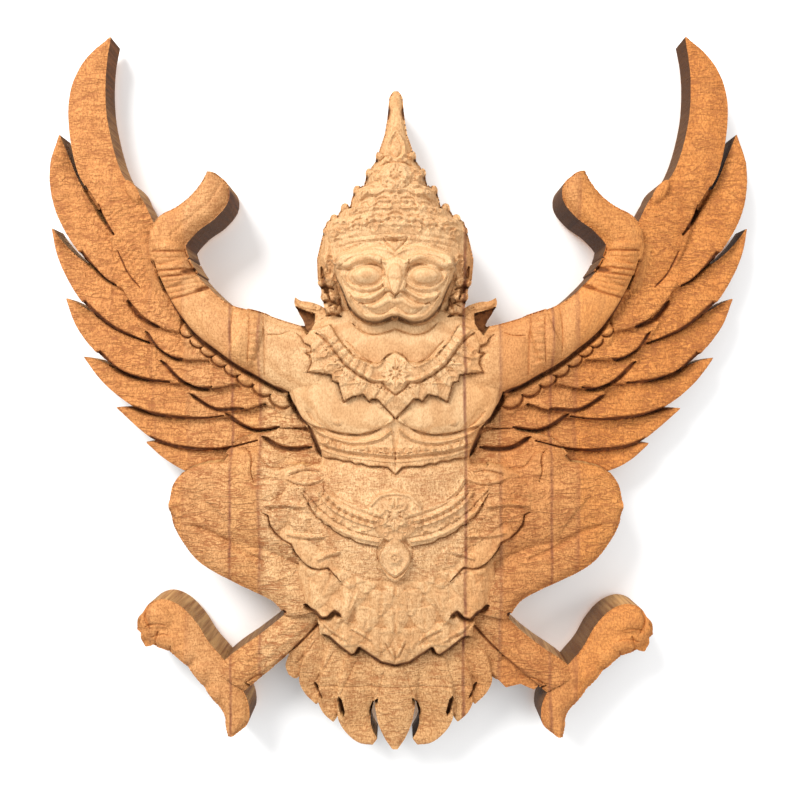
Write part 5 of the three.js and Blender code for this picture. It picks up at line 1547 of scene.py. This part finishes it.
def tone_ramp(value, low, high, dark, light):
    """A ramp between two tones."""
    made = add("ShaderNodeValToRGB")
    first, last = made.color_ramp.elements
    first.position, first.color = low, tuple(dark) + (1.0,)
    last.position, last.color = high, tuple(light) + (1.0,)
    tree.links.new(value, made.inputs["Fac"])
    return made.outputs["Color"]


def ranged(value, low, high, to_low=0.0, to_high=1.0):
    made = add("ShaderNodeMapRange")
    for name, number in (("From Min", low), ("From Max", high), ("To Min", to_low), ("To Max", to_high)):
        made.inputs[name].default_value = number
    tree.links.new(value, made.inputs["Value"])
    return made.outputs["Result"]


def feed(socket, term):
    """Sets a socket to a constant, or links it to another node's output."""
    if isinstance(term, (int, float, tuple)):
        socket.default_value = term
    else:
        tree.links.new(term, socket)


def sum_of(kind, first, second=0):
    made = add("ShaderNodeMath", operation=kind)
    feed(made.inputs[0], first)
    feed(made.inputs[1], second)
    return made.outputs["Value"]


def plus(first, second):
    return sum_of("ADD", first, second)


def times(first, second):
    return sum_of("MULTIPLY", first, second)


def blended(kind, share, first, second):
    made = add("ShaderNodeMix", data_type="RGBA", blend_type=kind)
    for name, sort, term in (("Factor", "VALUE", share), ("A", "RGBA", first), ("B", "RGBA", second)):
        feed(next(s for s in made.inputs if s.name == name and s.type == sort), term)
    return next(s for s in made.outputs if s.type == "RGBA")


SHARE_SENT_BACK = 0.68  # how much of a tone's light the wood sends back under this scene's lamps


def wood_tone(red, green, blue):
    """A tone given as the eye reads it, 0 to 255, for the shader."""
    return tuple(SHARE_SENT_BACK * (part / 255) ** 2.2 for part in (red, green, blue)) + (1.0,)


# Staves from left to right: where each ends, in millimetres, its tone, and how strong its seam is.
STAVES = [
    (-163, wood_tone(240, 170, 106), 0.45), (-140, wood_tone(236, 166, 102), 0.5),
    (-119, wood_tone(240, 172, 108), 0.6), (-93.5, wood_tone(240, 178, 118), 0.65),
    (-76.5, wood_tone(238, 176, 114), 1), (37.5, wood_tone(246, 196, 140), 1),
    (58, wood_tone(240, 180, 120), 0.85), (86.5, wood_tone(231, 160, 97), 0.95),
    (101, wood_tone(232, 162, 98), 0.95), (201, wood_tone(238, 161, 90), 0),
]
SEAM = 0.0013  # half the width of a seam, and half the width that the ramps reach over, in metres
HALF_BOX = 0.21


def ramp_of(value, stops):
    """A ramp through tones at places across the panel."""
    made = add("ShaderNodeValToRGB")
    ramp = made.color_ramp
    ramp.elements.remove(ramp.elements[1])
    ramp.elements[0].position = 0
    ramp.elements[0].color = stops[0][1]
    for place, tone in stops[1:]:
        ramp.elements.new((place + HALF_BOX) / (2 * HALF_BOX)).color = tone
    tree.links.new(ranged(value, -HALF_BOX, HALF_BOX), made.inputs["Fac"])
    return made.outputs["Color"]


def stave_tones(across):
    """The tone of each stave."""
    stops = [(-HALF_BOX, STAVES[0][1])]
    for (end, tone, _), (_, following, _) in zip(STAVES[:-1], STAVES[1:]):
        stops += [(end / METRE - SEAM, tone), (end / METRE + SEAM, following)]
    return ramp_of(across, stops)


def seams(across):
    """Thin dark lines of glue between the staves."""
    clear = (0.0, 0.0, 0.0, 1.0)
    stops = [(-HALF_BOX, clear)]
    for end, _, strength in STAVES[:-1]:
        shade = (strength, strength, strength, 1.0)
        stops += [(end / METRE - SEAM, clear), (end / METRE, shade), (end / METRE + SEAM, clear)]
    return ranged(ramp_of(across, stops), 0.12, 0.62)


def wood():
    """Light wood in glued staves, with its grain, the tools' marks, grime and painted shade in the cuts, and
    sawn walls with painted light and shade.
    """
    shader = tree.nodes["Principled BSDF"]
    texture = add("ShaderNodeTexCoord")
    place = texture.outputs["Object"]
    parts = add("ShaderNodeSeparateXYZ")
    tree.links.new(place, parts.inputs["Vector"])
    facing = add("ShaderNodeSeparateXYZ")
    tree.links.new(texture.outputs["Normal"], facing.inputs["Vector"])
    shade_grime_and_marks = add("ShaderNodeAttribute", attribute_name="marks")
    shares = add("ShaderNodeSeparateColor")
    tree.links.new(shade_grime_and_marks.outputs["Color"], shares.inputs["Color"])
    shade_and_dirt_share, tooled, raised = shares.outputs["Red"], shares.outputs["Green"], shares.outputs["Blue"]

    # Staves, and the wood's own slow changes of tone along the grain.
    waver = stretched_noise(place, (30, 30, 14), 3)
    across = plus(parts.outputs["X"], ranged(waver, 0.3, 0.7, -0.0012, 0.0012))
    colour = stave_tones(across)
    # painted light and shade: higher wood is drawn paler and yellower as a painted highlight, lower wood
    # darker as painted shade
    tint = tone_ramp(raised, 0.4, 0.82, (0.95, 0.88, 0.80), (1.03, 1.09, 1.2))
    colour = blended("MULTIPLY", 1.0, colour, tint)
    growth = stretched_noise(place, (120, 120, 8), 4, 0.6)
    grown = tone_ramp(growth, 0.33, 0.67, (0.89, 0.83, 0.77), (1.05, 1.05, 1.04))
    colour = blended("MULTIPLY", 1.0, colour, grown)

    glued = seams(across)
    patchy = stretched_noise(place, (1, 1, 62), 3)
    glue = times(glued, ranged(patchy, 0.36, 0.6, 0.5, 0.92))
    colour = blended("MIX", glue, colour, wood_tone(140, 82, 62))

    # Growth rings, which rounded forms cut in fine contour lines.
    rings = add("ShaderNodeTexWave", wave_type="BANDS", bands_direction="Y", Scale=105.0, Distortion=3.2)
    rings.inputs["Detail"].default_value = 2.0
    rings.inputs["Detail Scale"].default_value = 0.5
    tree.links.new(place, rings.inputs["Vector"])
    ring = ranged(rings.outputs["Fac"], 0.62, 0.95)
    ring = times(ring, ranged(tooled, 0.0, 0.9, 0.42, 0.12))
    colour = blended("MIX", ring, colour, wood_tone(206, 142, 84))

    # Pores and flecks.
    speckle = stretched_noise(place, (1150, 1150, 620), 2)
    flecked = tone_ramp(speckle, 0.34, 0.6, (0.71, 0.62, 0.52), (1.10, 1.11, 1.12))
    colour = blended("MULTIPLY", ranged(tooled, 0.1, 0.6, 0.55, 1.0), colour, flecked)
    pores = stretched_noise(place, (1900, 1900, 900), 1)
    pore = times(ranged(pores, 0.6, 0.68), ranged(tooled, 0.1, 0.6, 0.25, 0.7))
    colour = blended("MIX", pore, colour, wood_tone(168, 104, 56))

    # Wavy marks across the grain, broken up, where the wood was worked with a gouge.
    waves = stretched_noise(place, (105, 105, 400), 2.5, 1.0)
    crest = ranged(sum_of("ABSOLUTE", sum_of("SUBTRACT", waves, 0.5)), 0.085, 0.01)
    broken = stretched_noise(place, (110, 110, 170), 2)
    wave = times(crest, ranged(broken, 0.38, 0.58, 0.15, 1.0))
    wave = times(wave, ranged(tooled, 0.15, 0.9, 0.0, 0.8))
    colour = blended("MIX", wave, colour, wood_tone(170, 100, 54))

    # Dirt and shade in the cuts.
    mottle = stretched_noise(place, (260, 260, 260), 3)
    cut_shade_and_dirt = times(shade_and_dirt_share, ranged(mottle, 0.3, 0.7, 0.75, 1.1))
    shaded = tone_ramp(cut_shade_and_dirt, 0.08, 0.6, (1.0, 1.0, 1.0), (0.72, 0.56, 0.42))
    colour = blended("MULTIPLY", 1.0, colour, shaded)
    colour = blended("MIX", ranged(cut_shade_and_dirt, 0.4, 1.0, 0.0, 0.92), colour, wood_tone(84, 46, 26))

    # Sawn and smoked walls, with painted light and shade: walls that face up are drawn in a lit tone, walls
    # that face down get painted shade, and walls that face towards -X are darkened.
    outward = sum_of("ABSOLUTE", facing.outputs["Y"])
    upright = ranged(outward, 0.42, 0.16)
    scored = stretched_noise(place, (520, 26, 520), 3)
    # lit and shaded copies of the wall's tone, blended by how far the wall faces up: painted light and shade
    shady = tone_ramp(scored, 0.34, 0.66, wood_tone(54, 28, 14)[:3], wood_tone(132, 78, 42)[:3])
    sunny = tone_ramp(scored, 0.34, 0.66, wood_tone(168, 108, 58)[:3], wood_tone(248, 190, 120)[:3])
    lit = ranged(facing.outputs["Z"], 0.0, 0.45)
    walls = blended("MIX", lit, shady, sunny)
    smoke = stretched_noise(place, (28, 28, 28), 2)
    # smoke marks, kept to walls that don't face up, so partly painted shade
    smoke_and_shade = times(ranged(smoke, 0.4, 0.62, 0.0, 0.6), ranged(lit, 0.2, 0.8, 1.0, 0.0))
    turned = ranged(facing.outputs["X"], -0.15, -0.75, 0.0, 0.84)
    # painted shade on walls that face down
    under = ranged(facing.outputs["Z"], -0.1, -0.8, 0.0, 0.75)
    deepest = sum_of("MAXIMUM", sum_of("MAXIMUM", smoke_and_shade, turned), under)
    walls = blended("MIX", deepest, walls, wood_tone(34, 15, 5))
    colour = blended("MIX", times(upright, 0.85), colour, walls)
    tree.links.new(colour, shader.inputs["Base Color"])

    rough = ranged(speckle, 0.3, 0.7, 0.58, 0.78)
    worn = plus(rough, ranged(raised, 0.5, 0.9, 0.04, -0.12))
    tree.links.new(plus(worn, ranged(shade_and_dirt_share, 0.2, 1.0, 0.0, 0.12)), shader.inputs["Roughness"])
    shader.inputs["Specular IOR Level"].default_value = 0.25

    grain = plus(times(speckle, 0.5), times(pores, -0.4))
    hollow = plus(times(waves, 3.2), times(crest, -0.6))
    ripples = times(hollow, ranged(tooled, 0.15, 1.0, 0.0, 1.0))
    bump = add("ShaderNodeBump", Strength=0.7, Distance=0.0007)
    tree.links.new(plus(grain, ripples), bump.inputs["Height"])
    tree.links.new(bump.outputs["Normal"], shader.inputs["Normal"])


wood()
carving.data.materials.clear()
carving.data.materials.append(material)
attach(carving, "root")
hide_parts("garuda_carving")


# The photograph's view: straight on, from a little more than half a metre.
PHOTO = 800
FOCAL = 942  # in the photograph's pixels
CENTRE = (397, 392.5)
DISTANCE = 0.56
SENSOR = 36
SHEET = 3  # half the width of the sheet behind the carving, and how far behind it stands
BEHIND = 0.004


def camera():
    data = bpy.data.cameras.new("camera")
    data.sensor_width = SENSOR
    data.lens = FOCAL / PHOTO * data.sensor_width
    data.shift_x = (PHOTO / 2 - CENTRE[0]) / PHOTO
    data.shift_y = -(PHOTO / 2 - CENTRE[1]) / PHOTO
    data.clip_start = 0.01
    viewer = bpy.data.objects.new("camera", data)
    viewer.location = (0, -DISTANCE, 0)
    viewer.rotation_euler = (math.radians(90), 0, 0)
    bpy.context.scene.collection.objects.link(viewer)
    bpy.context.scene.camera = viewer


def lamp(name, place, size, watts, tint=(1, 1, 1)):
    data = bpy.data.lights.new(name, "AREA")
    data.shape = "DISK"
    data.size = size
    data.energy = watts
    data.color = tint
    made = bpy.data.objects.new(name, data)
    made.location = place
    made.rotation_euler = (-Vector(place)).to_track_quat("-Z", "Y").to_euler()
    bpy.context.scene.collection.objects.link(made)


def backdrop():
    """A plain pale sheet just behind the carving, seen only from the front."""
    bm = bmesh.new()
    bmesh.ops.create_grid(bm, x_segments=2, y_segments=2, size=SHEET)
    upright = Vector((0, 0, 1)).rotation_difference(Vector((0, -1, 0)))
    bmesh.ops.rotate(bm, verts=bm.verts, matrix=upright.to_matrix())
    bmesh.ops.translate(bm, verts=bm.verts, vec=(0, BEHIND, 0))
    mesh = bpy.data.meshes.new("backdrop")
    bm.to_mesh(mesh)
    bm.free()
    sheet = bpy.data.objects.new("backdrop", mesh)
    bpy.context.scene.collection.objects.link(sheet)
    pale = bpy.data.materials.new("pale sheet")
    pale.use_nodes = True
    nodes, join = pale.node_tree.nodes, pale.node_tree.links.new
    shader = nodes["Principled BSDF"]
    shader.inputs["Base Color"].default_value = (0.95, 0.95, 0.95, 1)
    shader.inputs["Roughness"].default_value = 0.9
    geometry = nodes.new("ShaderNodeNewGeometry")
    clear = nodes.new("ShaderNodeBsdfTransparent")
    either = nodes.new("ShaderNodeMixShader")
    join(geometry.outputs["Backfacing"], either.inputs["Fac"])
    join(shader.outputs["BSDF"], either.inputs[1])
    join(clear.outputs["BSDF"], either.inputs[2])
    join(either.outputs["Shader"], nodes["Material Output"].inputs["Surface"])
    mesh.materials.append(pale)
    sheet.visible_diffuse = False
    sheet.visible_glossy = False
    sheet.visible_shadow = False


camera()
lamp("key", (-0.85, -1.15, 1.05), 0.9, 36, (1, 0.99, 0.97))
lamp("fill", (0.8, -1.5, 0.3), 1.4, 10)
backdrop()
world = bpy.data.worlds.new("studio")
world.use_nodes = True
world.node_tree.nodes["Background"].inputs["Color"].default_value = (1, 1, 1, 1)
world.node_tree.nodes["Background"].inputs["Strength"].default_value = 0.8
bpy.context.scene.world = world
bpy.context.scene.view_settings.view_transform = "Standard"
